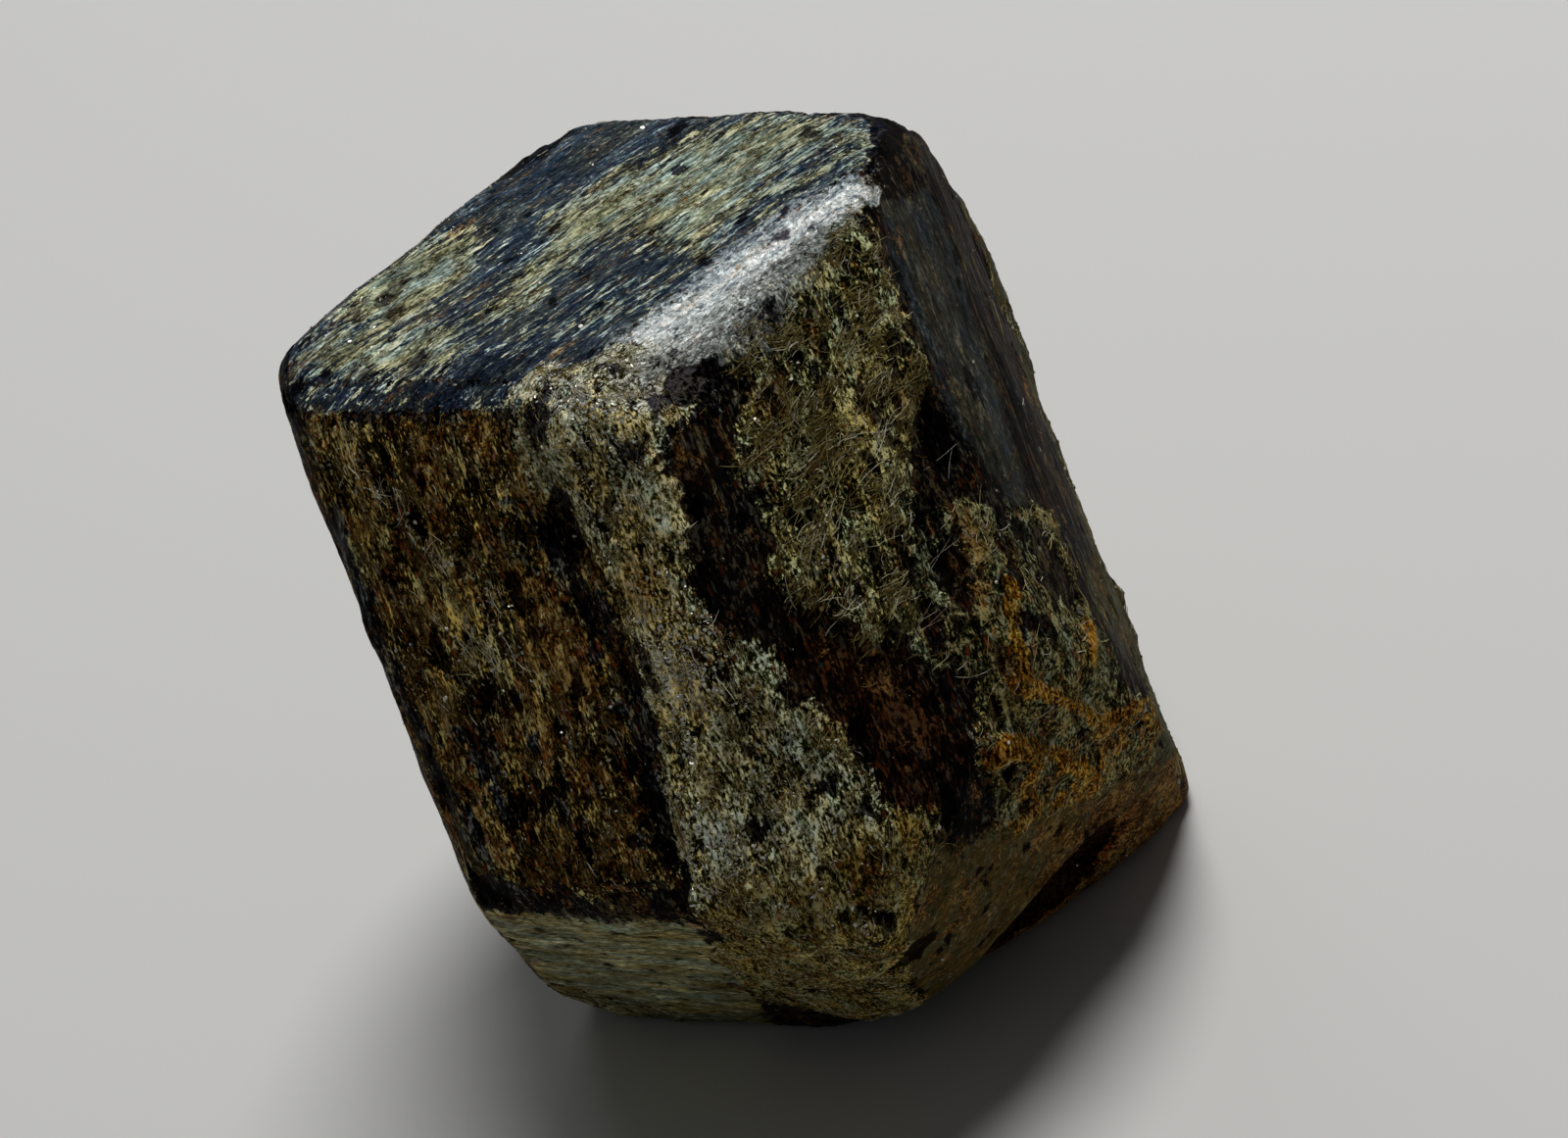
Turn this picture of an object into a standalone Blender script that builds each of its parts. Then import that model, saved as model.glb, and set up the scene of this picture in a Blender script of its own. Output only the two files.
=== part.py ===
# Almandine garnet crystal from mica schist: a rhombic dodecahedron, a little stretched along one
# of its threefold axes, lying on a face. Its edges are worn or cut by narrow faces, and a coat of
# mica covers it in patches. Metres, +Z up; the origin is on the face that it rests on, straight
# below the crystal's centre. Numbers below are millimetres, measured from that centre.

import math

import bmesh
import bpy
import numpy as np
from mathutils import Vector, noise

MM = 0.001
TRIANGLE_LIMIT = 9000
SPHERE_LEVEL = 7
EDGE_ROUNDING = 0.7
SURFACE_STEPS = 26
REST_DISTANCE = 16.9

# The twelve large faces: cubic indices, then distance.
RHOMB_FACES = {
    "top": ((1, 1, 0), 16.15),
    "rest": ((-1, -1, 0), REST_DISTANCE),
    "left_front": ((1, 0, -1), 15.05),
    "right_front": ((0, 1, -1), 15.2),
    "left_side": ((1, -1, 0), 14.45),
    "right_side": ((-1, 1, 0), 14.7),
    "left_back_upper": ((1, 0, 1), 17.6),
    "right_back_upper": ((0, 1, 1), 17.6),
    "left_back": ((0, -1, 1), 13.8),
    "right_back": ((-1, 0, 1), 14.0),
    "left_under": ((0, -1, -1), 17.55),
    "right_under": ((-1, 0, -1), 19.0),
}

# Narrow faces along edges, and corners cut off: a direction, then distance.
SMALL_FACES = {
    "glossy_strip": ((0.143, -0.274, 0.951), 17.1),
    "slate_strip": ((0.866, -0.408, 0.289), 15.4),
    "slate_strip_side": ((0.97, -0.197, 0.14), 15.1),
    "front_ridge": ((-0.189, -0.862, 0.47), 16.07),
    "top_left_edge": ((-0.289, -0.408, 0.866), 17.6),
    "left_edge": ((-0.866, -0.408, 0.289), 16.6),
    "lower_left_edge": ((-0.577, -0.816, 0.0), 18.4),
    "lower_right_edge": ((0.647, -0.741, -0.18), 18.0),
    "under_edge": ((0.0, -0.816, -0.577), 20.6),
    "right_foot": ((0.108, -0.5, -0.859), 19.5),
    "front_foot": ((0.3, -0.6, -0.742), 20.0),
    "left_foot": ((-0.8, -0.2, -0.566), 20.3),
    "top_back_left_edge": ((-0.289, 0.408, 0.866), 19.35),
    "top_back_right_edge": ((0.289, 0.408, 0.866), 19.5),
    "back_top_corner": ((0.0, 0.8, 0.6), 19.6),
    "left_top_corner": ((-0.707, 0.0, 0.707), 21.0),
    "right_top_corner": ((0.707, 0.0, 0.707), 20.1),
    "back_edge": ((0.0, 0.816, -0.577), 15.6),
    "back_low_corner": ((0.2, 0.95, -0.24), 21.5),
}

# The long axis, and two directions square to it: toward the front edge and toward the right.
LONG_AXIS = np.array((0.0, 0.5774, 0.8165))
FRONT = np.array((0.0, -0.8165, 0.5774))
RIGHT = np.array((1.0, 0.0, 0.0))
GIRTH_RADIUS = 15.0

# Outlines of the thick mica patches: degrees round the long axis from the front edge, then
# height along that axis.
COAT_THICKNESS = 0.4
COAT_EDGE_WIDTH = 0.5
COAT_RAGGEDNESS = 0.5
COAT_RAGGED_LENGTH = 1.6
COAT_OUTLINES = {
    "right_front": (
        (14, 7.6), (23, 8.9), (38, 10.4), (46, 11.2), (47, 9), (44, 6.8), (46, 4.3), (40, 2.4),
        (37, 0.5), (31, -2.3), (27, -5.4), (18, -6.2), (14, -3.6), (7, -2), (12, -0.3), (11, 3),
        (16, 5.7),
    ),
    "lower_right": (
        (44, -2.6), (48, -3.9), (56, -8), (60, -10.7), (50, -10), (35, -8.2), (31, -5.8), (40, -3.2),
    ),
    "front_ridge": (
        (-19, 9), (-9, 9.5), (1, 8.6), (0, 5.7), (1, 2.3), (0, -2.1), (4, -4.6), (9, -7.3),
        (13, -10.8), (12, -14.8), (5, -17), (-22, -13), (-19, -9.6), (-16, -6), (-14, -1.2),
        (-14, 0.9), (-16, 4), (-16, 6.1),
    ),
    "left_front": (
        (-55, 12.2), (-40, 10.8), (-27, 9.2), (-24, 7.5), (-23, 5.5), (-28, 3), (-26, 0),
        (-21, -2.5), (-24, -7), (-22, -11.5), (-38, -10.7), (-54, -8.9), (-57, -5.8), (-58, -1.3),
        (-59, 2.3),
    ),
}

# Hollows and lumps: centre, half length, half width, height (below zero for a hollow).
# The first group runs along the long axis; the second along the grain of the top face.
LENGTHWISE_RELIEF = {
    "dark_hollow_below_corner": ((2.6, -9.1, 14.9), 0.9, 1.7, -0.5),
    "hollow_on_left_front": ((-4.7, -10.1, 11.1), 1.6, 1.5, -0.5),
    "small_pit_low": ((-8.0, -8.9, 9.5), 0.5, 0.5, -0.4),
    "small_pit_high": ((-6.1, -7.7, 13.0), 0.5, 0.4, -0.3),
    "slot_by_left_edge": ((-13.8, -2.1, 13.3), 2.4, 0.35, -0.45),
    "slot_low_left": ((-13.6, -10.0, 2.4), 1.8, 0.35, -0.4),
    "slot_middle": ((-7.5, -12.9, 4.3), 1.4, 0.3, -0.3),
    "slot_right": ((-4.7, -14.4, 5.0), 2.8, 0.35, -0.5),
    "slot_right_low": ((-5.8, -17.6, -0.5), 2.6, 0.4, -0.4),
    "slot_upper": ((-10.9, -6.1, 10.5), 1.0, 0.35, -0.3),
    "bare_window_upper": ((10.8, -8.6, 7.5), 1.6, 0.9, -0.35),
    "bare_window_middle": ((8.8, -12.1, 4.4), 1.4, 0.9, -0.3),
    "bare_window_lower": ((7.3, -14.2, 3.0), 0.8, 0.8, -0.3),
    "rust_hollow_left": ((7.9, -17.6, -2.4), 0.9, 0.8, -0.45),
    "rust_hollow_right": ((9.5, -17.2, -3.4), 0.7, 0.7, -0.45),
    "rust_lobe": ((11.2, -15.8, -3.2), 0.7, 1.3, 0.45),
    "raised_lobe": ((10.2, -7.0, 10.4), 2.0, 1.0, 0.2),
    "corner_knob_left": ((-2.2, -9.4, 14.7), 1.6, 1.8, 0.3),
    "corner_knob_top": ((-0.5, -8.3, 16.2), 1.0, 1.8, 0.25),
}
CROSSWISE_RELIEF = {
    "pit_on_top_large": ((-8.9, 4.2, 16.15), 0.45, 0.35, -0.5),
    "pit_on_top_small": ((-8.6, 2.8, 16.15), 0.45, 0.3, -0.4),
    "pit_on_top_left": ((-8.0, -1.6, 16.15), 0.5, 0.3, -0.3),
    "chip_on_top_back": ((-1.3, 11.4, 16.15), 1.9, 1.0, -0.4),
    "chip_on_top_left": ((-7.6, 9.0, 16.15), 1.4, 0.8, -0.3),
    "recess_in_right_foot": ((8.0, -11.6, -13.9), 3.6, 1.8, -1.1),
    "smooth_patch_low": ((2.3, -19.0, -8.3), 1.5, 1.1, -0.3),
    "lump_low_left": ((-3.7, -16.6, -8.0), 1.5, 0.9, 0.35),
    "lump_low_middle": ((-0.5, -18.6, -7.5), 1.4, 0.9, 0.35),
    "hollow_low": ((-1.6, -19.6, -4.6), 0.7, 0.5, -0.35),
}
TOP_GRAIN = np.array((0.92, 0.39, 0.0))
SPOT_EDGE_POWER = 4

# Ridges of rusty crust on the lower right, and their height and half width.
RIDGE_HEIGHT = 0.45
RIDGE_HALF_WIDTH = 0.4
RIDGES = {
    "upper": ((39, -8.9), (43, -10.1), (49, -11), (56, -11.5)),
    "lower": ((30, -10.9), (36, -11.3), (40, -11.8), (48, -13)),
}

# Fine relief: swells over the whole crystal, and streaks drawn out along the grain.
SWELL_HEIGHT = 0.13
SWELL_LENGTH = 4.5
LUMP_HEIGHT = 0.05
LUMP_LENGTH = 1.5
STREAK_HEIGHT = 0.07
STREAK_LENGTH = 1.3
STREAK_STRETCH = 6.0
END_GRAIN_START = (11.0, 15.0)

# Behind the centre the mica lies in patches of its own.
PATCH_LENGTH = 5.0
PATCH_COVER = (0.08, 0.2)
PATCH_START = (0.0, 4.0)
FLAT_REST_MARGIN = 1.5
FLAT_REST_DEPTH = 0.03

# The noise that roughens the surface, and where each use of it starts.
NOISE_DIMENSION = 0.9
NOISE_LACUNARITY = 2.1
NOISE_OCTAVES = 3
SEEDS = {
    "lengthwise": 1.0, "crosswise": 2.0, "ragged": 4.0, "patches": 5.0, "swells": 7.0, "lumps": 9.0,
}

SURFACE_COLOUR = (0.12, 0.1, 0.055, 1.0)
SURFACE_ROUGHNESS = 0.5


def cubic_direction(indices):
    # Turns cubic indices into the crystal's own frame, where the (1 1 0) face is level and on top.
    h, k, l = indices
    return Vector(((k - h) / math.sqrt(2), l, (h + k) / math.sqrt(2))).normalized()


def face_planes():
    normals = []
    distances = []
    for indices, distance in RHOMB_FACES.values():
        normals.append(cubic_direction(indices))
        distances.append(distance)
    for direction, distance in SMALL_FACES.values():
        normals.append(Vector(direction).normalized())
        distances.append(distance)
    return np.array(normals), np.array(distances)


def blend(value, low, high):
    share = np.clip((value - low) / (high - low), 0.0, 1.0)
    return share * share * (3.0 - 2.0 * share)


def excess(points, normals, distances):
    # Above zero outside the crystal, below zero inside it, with its edges rounded.
    past = np.maximum(points @ normals.T - (distances - EDGE_ROUNDING), 0.0)
    return np.sqrt((past * past).sum(axis=1)) - EDGE_ROUNDING


def reach_faces(directions, normals, distances):
    # Finds, for each direction from the centre, how far out the crystal's surface is.
    low = np.zeros(len(directions))
    high = np.full(len(directions), 2.0 * distances.max())
    for _ in range(SURFACE_STEPS):
        middle = 0.5 * (low + high)
        outside = excess(directions * middle[:, None], normals, distances) > 0.0
        high = np.where(outside, middle, high)
        low = np.where(outside, low, middle)
    return directions * low[:, None]


def surface_normals(points, normals, distances):
    past = np.maximum(points @ normals.T - (distances - EDGE_ROUNDING), 0.0)
    leaning = past @ normals
    return leaning / np.linalg.norm(leaning, axis=1)[:, None]


def girth_position(points):
    # Unrolls the six long faces: millimetres round the long axis, then height along it.
    turn = np.arctan2(points @ RIGHT, points @ FRONT)
    return np.stack((turn * GIRTH_RADIUS, points @ LONG_AXIS), axis=1)


def on_girth(outline):
    return [np.array((math.radians(turn) * GIRTH_RADIUS, height)) for turn, height in outline]


def line_distance(flat, start, end):
    along = end - start
    share = np.clip((flat - start) @ along / (along @ along), 0.0, 1.0)
    return np.linalg.norm(flat - start - share[:, None] * along, axis=1)


def depth_inside(flat, outline):
    # How far each point lies inside an outline; below zero outside it.
    corners = on_girth(outline)
    nearest = np.full(len(flat), np.inf)
    inside = np.zeros(len(flat), dtype=bool)
    for start, end in zip(corners, corners[1:] + corners[:1]):
        nearest = np.minimum(nearest, line_distance(flat, start, end))
        crosses = (start[1] > flat[:, 1]) != (end[1] > flat[:, 1])
        rise = end[1] - start[1]
        if rise != 0.0:
            at = start[0] + (flat[:, 1] - start[1]) * (end[0] - start[0]) / rise
            inside ^= crosses & (flat[:, 0] < at)
    return np.where(inside, nearest, -nearest)


def wobble(points, length, seed):
    offset = Vector((seed, 2.0 * seed, 3.0 * seed))
    values = []
    for point in points:
        place = Vector(point) / length + offset
        values.append(noise.fractal(place, NOISE_DIMENSION, NOISE_LACUNARITY, NOISE_OCTAVES))
    return np.array(values)


def stretched(points, axis, factor):
    along = points @ axis
    return points - np.outer(along * (1.0 - 1.0 / factor), axis)


def coat_relief(points):
    flat = girth_position(points)
    ragged = COAT_RAGGEDNESS * wobble(points, COAT_RAGGED_LENGTH, SEEDS["ragged"])
    relief = np.zeros(len(points))
    for outline in COAT_OUTLINES.values():
        depth = depth_inside(flat, outline) + ragged
        relief = np.maximum(relief, COAT_THICKNESS * blend(depth, 0.0, COAT_EDGE_WIDTH))
    patches = blend(wobble(points, PATCH_LENGTH, SEEDS["patches"]), *PATCH_COVER)
    behind = blend(-(points @ FRONT), *PATCH_START)
    return np.maximum(relief, COAT_THICKNESS * patches * behind)


def ridge_relief(points):
    flat = girth_position(points)
    relief = np.zeros(len(points))
    for path in RIDGES.values():
        stops = on_girth(path)
        for start, end in zip(stops, stops[1:]):
            away = line_distance(flat, start, end) / RIDGE_HALF_WIDTH
            relief = np.maximum(relief, RIDGE_HEIGHT * np.exp(-away * away))
    return relief


def spot_relief(points, spots, axis):
    relief = np.zeros(len(points))
    for centre, half_length, half_width, height in spots.values():
        offset = points - np.array(centre)
        along = offset @ axis
        across = np.linalg.norm(offset - np.outer(along, axis), axis=1)
        size = (along / half_length) ** SPOT_EDGE_POWER + (across / half_width) ** SPOT_EDGE_POWER
        relief += height * np.exp(-size)
    return relief


def grain_relief(points):
    ends = blend(np.abs(points @ LONG_AXIS), *END_GRAIN_START)
    along_axis = stretched(points, LONG_AXIS, STREAK_STRETCH)
    along_top = stretched(points, TOP_GRAIN, STREAK_STRETCH)
    lengthwise = wobble(along_axis, STREAK_LENGTH, SEEDS["lengthwise"])
    crosswise = wobble(along_top, STREAK_LENGTH, SEEDS["crosswise"])
    return STREAK_HEIGHT * (lengthwise * (1.0 - ends) + crosswise * ends)


def relief_height(points):
    height = SWELL_HEIGHT * wobble(points, SWELL_LENGTH, SEEDS["swells"])
    height += LUMP_HEIGHT * wobble(points, LUMP_LENGTH, SEEDS["lumps"])
    height += grain_relief(points)
    height += coat_relief(points)
    height += ridge_relief(points)
    height += spot_relief(points, LENGTHWISE_RELIEF, LONG_AXIS)
    height += spot_relief(points, CROSSWISE_RELIEF, TOP_GRAIN)
    return height


def crystal_points(directions):
    normals, distances = face_planes()
    points = reach_faces(directions, normals, distances)
    outward = surface_normals(points, normals, distances)
    above_rest = points[:, 2] + REST_DISTANCE
    height = relief_height(points) * blend(above_rest, 0.0, FLAT_REST_MARGIN)
    points = points + outward * height[:, None]
    points[:, 2] += REST_DISTANCE
    points[points[:, 2] < FLAT_REST_DEPTH, 2] = 0.0
    return points


def clear_scene():
    for obj in list(bpy.data.objects):
        bpy.data.objects.remove(obj)


def garnet_material():
    material = bpy.data.materials.new("garnet_with_mica")
    material.use_nodes = True
    shader = material.node_tree.nodes["Principled BSDF"]
    shader.inputs["Base Color"].default_value = SURFACE_COLOUR
    shader.inputs["Roughness"].default_value = SURFACE_ROUGHNESS
    return material


def build_crystal():
    bm = bmesh.new()
    bmesh.ops.create_icosphere(bm, subdivisions=SPHERE_LEVEL, radius=1.0)
    directions = np.array([vert.co.normalized() for vert in bm.verts])
    for vert, point in zip(bm.verts, crystal_points(directions)):
        vert.co = point * MM
    mesh = bpy.data.meshes.new("garnet_crystal")
    bm.to_mesh(mesh)
    triangles = len(bm.faces)
    bm.free()
    crystal = bpy.data.objects.new("garnet_crystal", mesh)
    bpy.context.scene.collection.objects.link(crystal)
    crystal.data.materials.append(garnet_material())
    thin = crystal.modifiers.new("fewer_triangles", "DECIMATE")
    thin.ratio = TRIANGLE_LIMIT / triangles


clear_scene()
build_crystal()
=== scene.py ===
import math

import bmesh
import bpy
import numpy as np
from mathutils import Euler, Matrix, Vector, noise
from mathutils.bvhtree import BVHTree


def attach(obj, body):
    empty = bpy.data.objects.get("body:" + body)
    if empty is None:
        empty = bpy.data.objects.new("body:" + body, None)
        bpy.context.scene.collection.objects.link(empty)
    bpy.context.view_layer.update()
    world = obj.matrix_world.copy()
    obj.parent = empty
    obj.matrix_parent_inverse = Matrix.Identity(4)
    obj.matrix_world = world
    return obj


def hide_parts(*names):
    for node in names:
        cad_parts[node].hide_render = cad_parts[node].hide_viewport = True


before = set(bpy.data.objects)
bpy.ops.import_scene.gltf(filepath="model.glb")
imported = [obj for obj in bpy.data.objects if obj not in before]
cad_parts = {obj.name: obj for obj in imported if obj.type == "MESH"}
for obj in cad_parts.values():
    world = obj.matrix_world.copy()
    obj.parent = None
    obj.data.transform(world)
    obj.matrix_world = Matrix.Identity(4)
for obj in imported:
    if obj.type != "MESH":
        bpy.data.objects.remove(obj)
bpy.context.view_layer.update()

# A loose garnet crystal with a coat of mica, lying on one face.
# Places on it are in mm from its centre, which is 16.9 mm above the floor.
mm = 0.001
crystal = {
    "node": "garnet_crystal",
    "centre": np.array((0.0, 0.0, 16.9)),
    "longAxis": np.array((0.0, 0.5774, 0.8165)),
    "front": np.array((0.0, -0.8165, 0.5774)),
    "right": np.array((1.0, 0.0, 0.0)),
    "topGrain": np.array((0.92, 0.39, 0.0)) / math.hypot(0.92, 0.39),
    "girthRadius": 15.0,     # mm of girth for each radian of turn
}
rng = np.random.default_rng(9338)


# The photograph's view: the camera looks down on the crystal and is rolled to the left.
view = {
    "azimuth": 4.69,
    "elevation": 32.88,
    "roll": -24.1,
    "distance": 250.0,
    "lens": 135.0,
    "sensor": 36.0,
    "sideways": 2.25,     # mm that the crystal sits left of the middle of the picture
}


def placeCamera():
    azimuth, elevation, roll = (math.radians(view[k]) for k in ("azimuth", "elevation", "roll"))
    back = Vector((math.sin(azimuth) * math.cos(elevation),
                   -math.cos(azimuth) * math.cos(elevation), math.sin(elevation)))
    level = Vector((math.cos(azimuth), math.sin(azimuth), 0.0))
    upright = back.cross(level)
    across = level * math.cos(roll) + upright * math.sin(roll)
    up = upright * math.cos(roll) - level * math.sin(roll)
    cameraData = bpy.data.cameras.new("photo_view")
    cameraData.lens = view["lens"]
    cameraData.sensor_width = view["sensor"]
    cameraObject = bpy.data.objects.new("photo_view", cameraData)
    bpy.context.scene.collection.objects.link(cameraObject)
    place = (Vector(crystal["centre"]) + back * view["distance"] + across * view["sideways"]) * mm
    cameraObject.matrix_world = Matrix.Translation(place) @ Matrix((across, up, back)).transposed().to_4x4()
    bpy.context.scene.camera = cameraObject


placeCamera()
print("camera placed")


# The crystal's flat faces: the way each looks, then its distance from the centre.
# Each face name is also a zone of the surface, with a finish of its own.
facePlanes = {
    "top": [((0, 0, 1), 16.15)],
    "rest": [((0, 0, -1), 16.9)],
    "leftFront": [((-0.5, -0.7071, 0.5), 15.05)],
    "rightFront": [((0.5, -0.7071, 0.5), 15.2)],
    "leftSide": [((-1, 0, 0), 14.45)],
    "rightSide": [((1, 0, 0), 14.7)],
    "leftBackUpper": [((-0.5, 0.7071, 0.5), 17.6)],
    "rightBackUpper": [((0.5, 0.7071, 0.5), 17.6)],
    "leftBack": [((-0.5, 0.7071, -0.5), 13.8)],
    "rightBack": [((0.5, 0.7071, -0.5), 14.0)],
    "leftUnder": [((-0.5, -0.7071, -0.5), 17.55)],
    "rightUnder": [((0.5, -0.7071, -0.5), 19.0)],
    "strip": [((0.143, -0.274, 0.951), 17.1)],
    "slate": [((0.866, -0.408, 0.289), 15.4), ((0.97, -0.197, 0.14), 15.1)],
    "frontRidge": [((-0.189, -0.862, 0.47), 16.07)],
    "topLeftEdge": [((-0.289, -0.408, 0.866), 17.6)],
    "leftEdge": [((-0.866, -0.408, 0.289), 16.6)],
    "lowerEdge": [((-0.577, -0.816, 0.0), 18.4), ((0.647, -0.741, -0.18), 18.0)],
    "foot": [((0.0, -0.816, -0.577), 20.6), ((0.108, -0.5, -0.859), 19.5),
             ((0.3, -0.6, -0.742), 20.0), ((-0.8, -0.2, -0.566), 20.3)],
}

# Outlines on the six long faces: degrees round the long axis from the front edge, then mm along it.
girthOutlines = {
    "rightCoat": [(14, 7.6), (23, 8.9), (38, 10.4), (46, 11.2), (47, 9), (44, 6.8), (46, 4.3), (40, 2.4),
        (37, 0.5), (31, -2.3), (27, -5.4), (18, -6.2), (14, -3.6), (7, -2), (12, -0.3), (11, 3), (16, 5.7)],
    "lowRightCoat": [(44, -2.6), (48, -3.9), (56, -8), (60, -10.7), (50, -10), (35, -8.2), (31, -5.8),
        (40, -3.2)],
    "ridgeCoat": [(-19, 9), (-9, 9.5), (1, 8.6), (0, 5.7), (1, 2.3), (0, -2.1), (4, -4.6), (9, -7.3),
        (13, -10.8), (12, -14.8), (5, -17), (-22, -13), (-19, -9.6), (-16, -6), (-14, -1.2), (-14, 0.9),
        (-16, 4), (-16, 6.1)],
    "striated": [(2, 6.8), (6, 6), (12, 4.9), (9, 2.6), (8, 0.6), (4, 1.9), (2, 4.1)],
    "redBare": [(12, -4), (21, -5.3), (30, -7.8), (27, -11.3), (18, -13.8), (11, -12.2), (10, -8.8),
        (5, -5.4)],
    "mottledLow": [(7, -8.5), (18, -13.8), (21, -14.5), (8, -17), (5, -16.5), (8, -12.8)],
    "rust": [(50, -13.6), (58, -12.9), (66, -13.4), (72, -14.6), (60, -15), (48, -14.7)],
    "lowerRight": [(43, -1.6), (53, -2.2), (64, -3.2), (65, -8), (68, -10.4), (76, -12.2), (84, -14.4),
        (70, -15.2), (45, -14.8), (33, -14.4), (30, -11), (34, -8.4), (28, -7.4), (27, -5), (31, -3.4),
        (37, -1.2)],
    "window": [(39.5, -1.4), (41, -3), (40, -4.3), (36, -5.3), (33.5, -4.7), (33.5, -3.3), (36, -2.2)],
    "windowLow": [(30.5, -4.2), (32.5, -5.2), (31, -7), (28.5, -7.3), (28, -5.4)],
    "windowThin": [(46.8, -2.4), (48.6, -3.6), (46.8, -5.9), (44.4, -5.3), (45, -3.6)],
    "windowRight": [(56.5, -3), (60.5, -4.6), (60.5, -6.6), (57, -7.2), (52.5, -6.1), (53, -4.1)],
    "greyGreen": [(43, -1.1), (49, -2.7), (51, -4.2), (43, -5.1), (38, -6.3), (30, -5.6), (35, -3.6)],
    "orangePatch": [(-29, 1), (-17, 0.8), (-21, -3.1), (-30, -4.8), (-31, -2.2)],
    "shadedHollow": [(-25, 5.5), (-19, 4.5), (-15, 2.3), (-14, -1.2), (-16, -6), (-19, -4.1), (-20, -0.6),
        (-25, 2.8)],
    "slateStrip": [(50, 11.4), (46, 9.8), (47, 7.1), (46, 3.1), (47, 1.4), (50, -0.6), (53, -2.4),
        (58, -2.4), (61, -0.8), (64, 4.3), (66, 9.5), (66, 11.4)],
    "ochreRidge": [(-13, 6.5), (-6, 6.2), (-3, 3), (-3, -1.5), (-1, -5), (-6, -7), (-13, -6), (-13, 1)],
    "darkRough": [(3, 7.5), (9, 7.6), (13, 7.4), (16, 6.0), (13, 5.6), (9, 6.2), (6, 5.5), (4, 6.5)],
}

# Outlines on the top face: mm to the right, then mm toward the back.
topOutlines = {
    "leftCream": [(-13.1, 0.7), (-12.8, 2.4), (-11.1, 3.3), (-9.8, 1.5), (-7.2, 0.8), (-5.8, -1.9),
        (-7.2, -2.5), (-9.3, -2.2), (-10.6, -2.4)],
    "pitCream": [(-11.6, 5.3), (-9.2, 7.3), (-6.4, 7.7), (-3.9, 6.2), (-5.2, 3.4), (-7.1, 1.5), (-8.9, 1.6),
        (-10.9, 3.1)],
    "midStreaks": [(-6, -0.1), (-3.5, 2.9), (0.4, 5.9), (4.1, 6.5), (4.6, 4.3), (1.6, 1.5), (-2.3, -1.3),
        (-5, -2.5)],
    "oliveField": [(-1.9, 1.7), (1.6, 1.9), (4.4, -2.7), (8.3, -0.3), (11, 0.6), (12.9, 0.3), (12.3, 3),
        (9.3, 6.2), (5.1, 7.4), (1.4, 6.4), (-1.4, 5.2)],
    "darkFront": [(-9.8, -2.6), (-7.6, -2.4), (-5, -2.7), (-2.6, -3.9), (-0.8, -6.6), (-3, -6.6),
        (-4.7, -7.1), (-8.3, -5)],
    "stripUpper": [(-1.3, -6.6), (2.5, -4.1), (5.3, -2.1), (8.1, -0.9), (11.4, -0.2), (12.9, -1.6),
        (9, -3.8), (5, -6.4), (1, -9)],
    "knobTop": [(-5, -6.3), (-3.2, -5.6), (-1.3, -7.2), (0.7, -7.7), (2.4, -7.6), (2.9, -8.6), (1.7, -9.3),
        (0.4, -10.5), (-2, -11)],
}
paleStreaks = [((-2.7, -4.4), (1.1, -2.2)), ((-0.9, -4.0), (3.0, -3.7)), ((-5.2, -4.0), (-2.5, -2.8)),
    ((-3.8, 0.6), (1.8, 2.7))]
darkStreaks = [((0.6, -5.1), (5.3, -2.3)), ((5.6, -2.0), (7.1, -0.6)), ((-0.6, -1.8), (2.4, -0.3)),
    ((8.5, 1.2), (10.7, 1.6))]

# Other places and borders. Balls and the recess are centres and radii in mm.
borders = {
    "knobBalls": [((-2.4, -9.6, 14.6), 3.5), ((0.0, -9.0, 15.6), 2.7)],
    "knobLow": 14.0, "stripLow": 15.0,     # the knob's and the strip's top outlines count above these heights
    "recessCentre": (8.0, -11.6, -13.9), "recessRadius": 2.6, "recessStretch": 2.2,
    "low": ((-9.5, -6.0, -3.7, -1.7), (1.4, 2.2, 4.3, 6.0)),     # height, then mm to the right
    "lowCoat": {"left": 5.5, "top": -12.6, "back": 2.0},
    "rustLow": {"from": 21, "top": -14.2, "bottom": 14.6, "left": 5.5},
    # degrees of turn at which the right side starts, at mm along the axis
    "side": ((-14, -12.2, -10.4, -7.1, -0.8, 4.3, 9.5), (84, 75, 66, 62, 61, 64, 66)),
    "paleSide": ((-12, -7, -3, 2, 6), (76, 75, 79, 86, 96)),
    "sideEnd": 175, "mmPerDegree": 0.26,
}
outside = -5.0     # mm inside, for points that a zone can't hold


def smoothStep(value, low, high):
    share = np.clip((value - low) / (high - low), 0.0, 1.0)
    return share * share * (3.0 - 2.0 * share)


def mostOf(*values):
    return np.maximum.reduce(values)


def leastOf(*values):
    return np.minimum.reduce(values)


def onGirth(points):
    turn = np.arctan2(points @ crystal["right"], points @ crystal["front"])
    return np.stack((turn * crystal["girthRadius"], points @ crystal["longAxis"]), axis=1)


def lineDistance(flat, start, end):
    start, along = np.array(start), np.array(end) - np.array(start)
    share = np.clip((flat - start) @ along / (along @ along), 0.0, 1.0)
    return np.linalg.norm(flat - start - share[:, None] * along, axis=1)


def insideOutline(flat, outline):
    # mm inside the outline, below zero outside it
    nearest = np.full(len(flat), np.inf)
    inside = np.zeros(len(flat), dtype=bool)
    for start, end in zip(outline, outline[1:] + outline[:1]):
        nearest = np.minimum(nearest, lineDistance(flat, start, end))
        if start[1] != end[1]:
            crosses = (start[1] > flat[:, 1]) != (end[1] > flat[:, 1])
            at = start[0] + (flat[:, 1] - start[1]) * (end[0] - start[0]) / (end[1] - start[1])
            inside ^= crosses & (flat[:, 0] < at)
    return np.where(inside, nearest, -nearest)


def girthCorners(outline):
    return [(math.radians(turn) * crystal["girthRadius"], rise) for turn, rise in outline]


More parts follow.
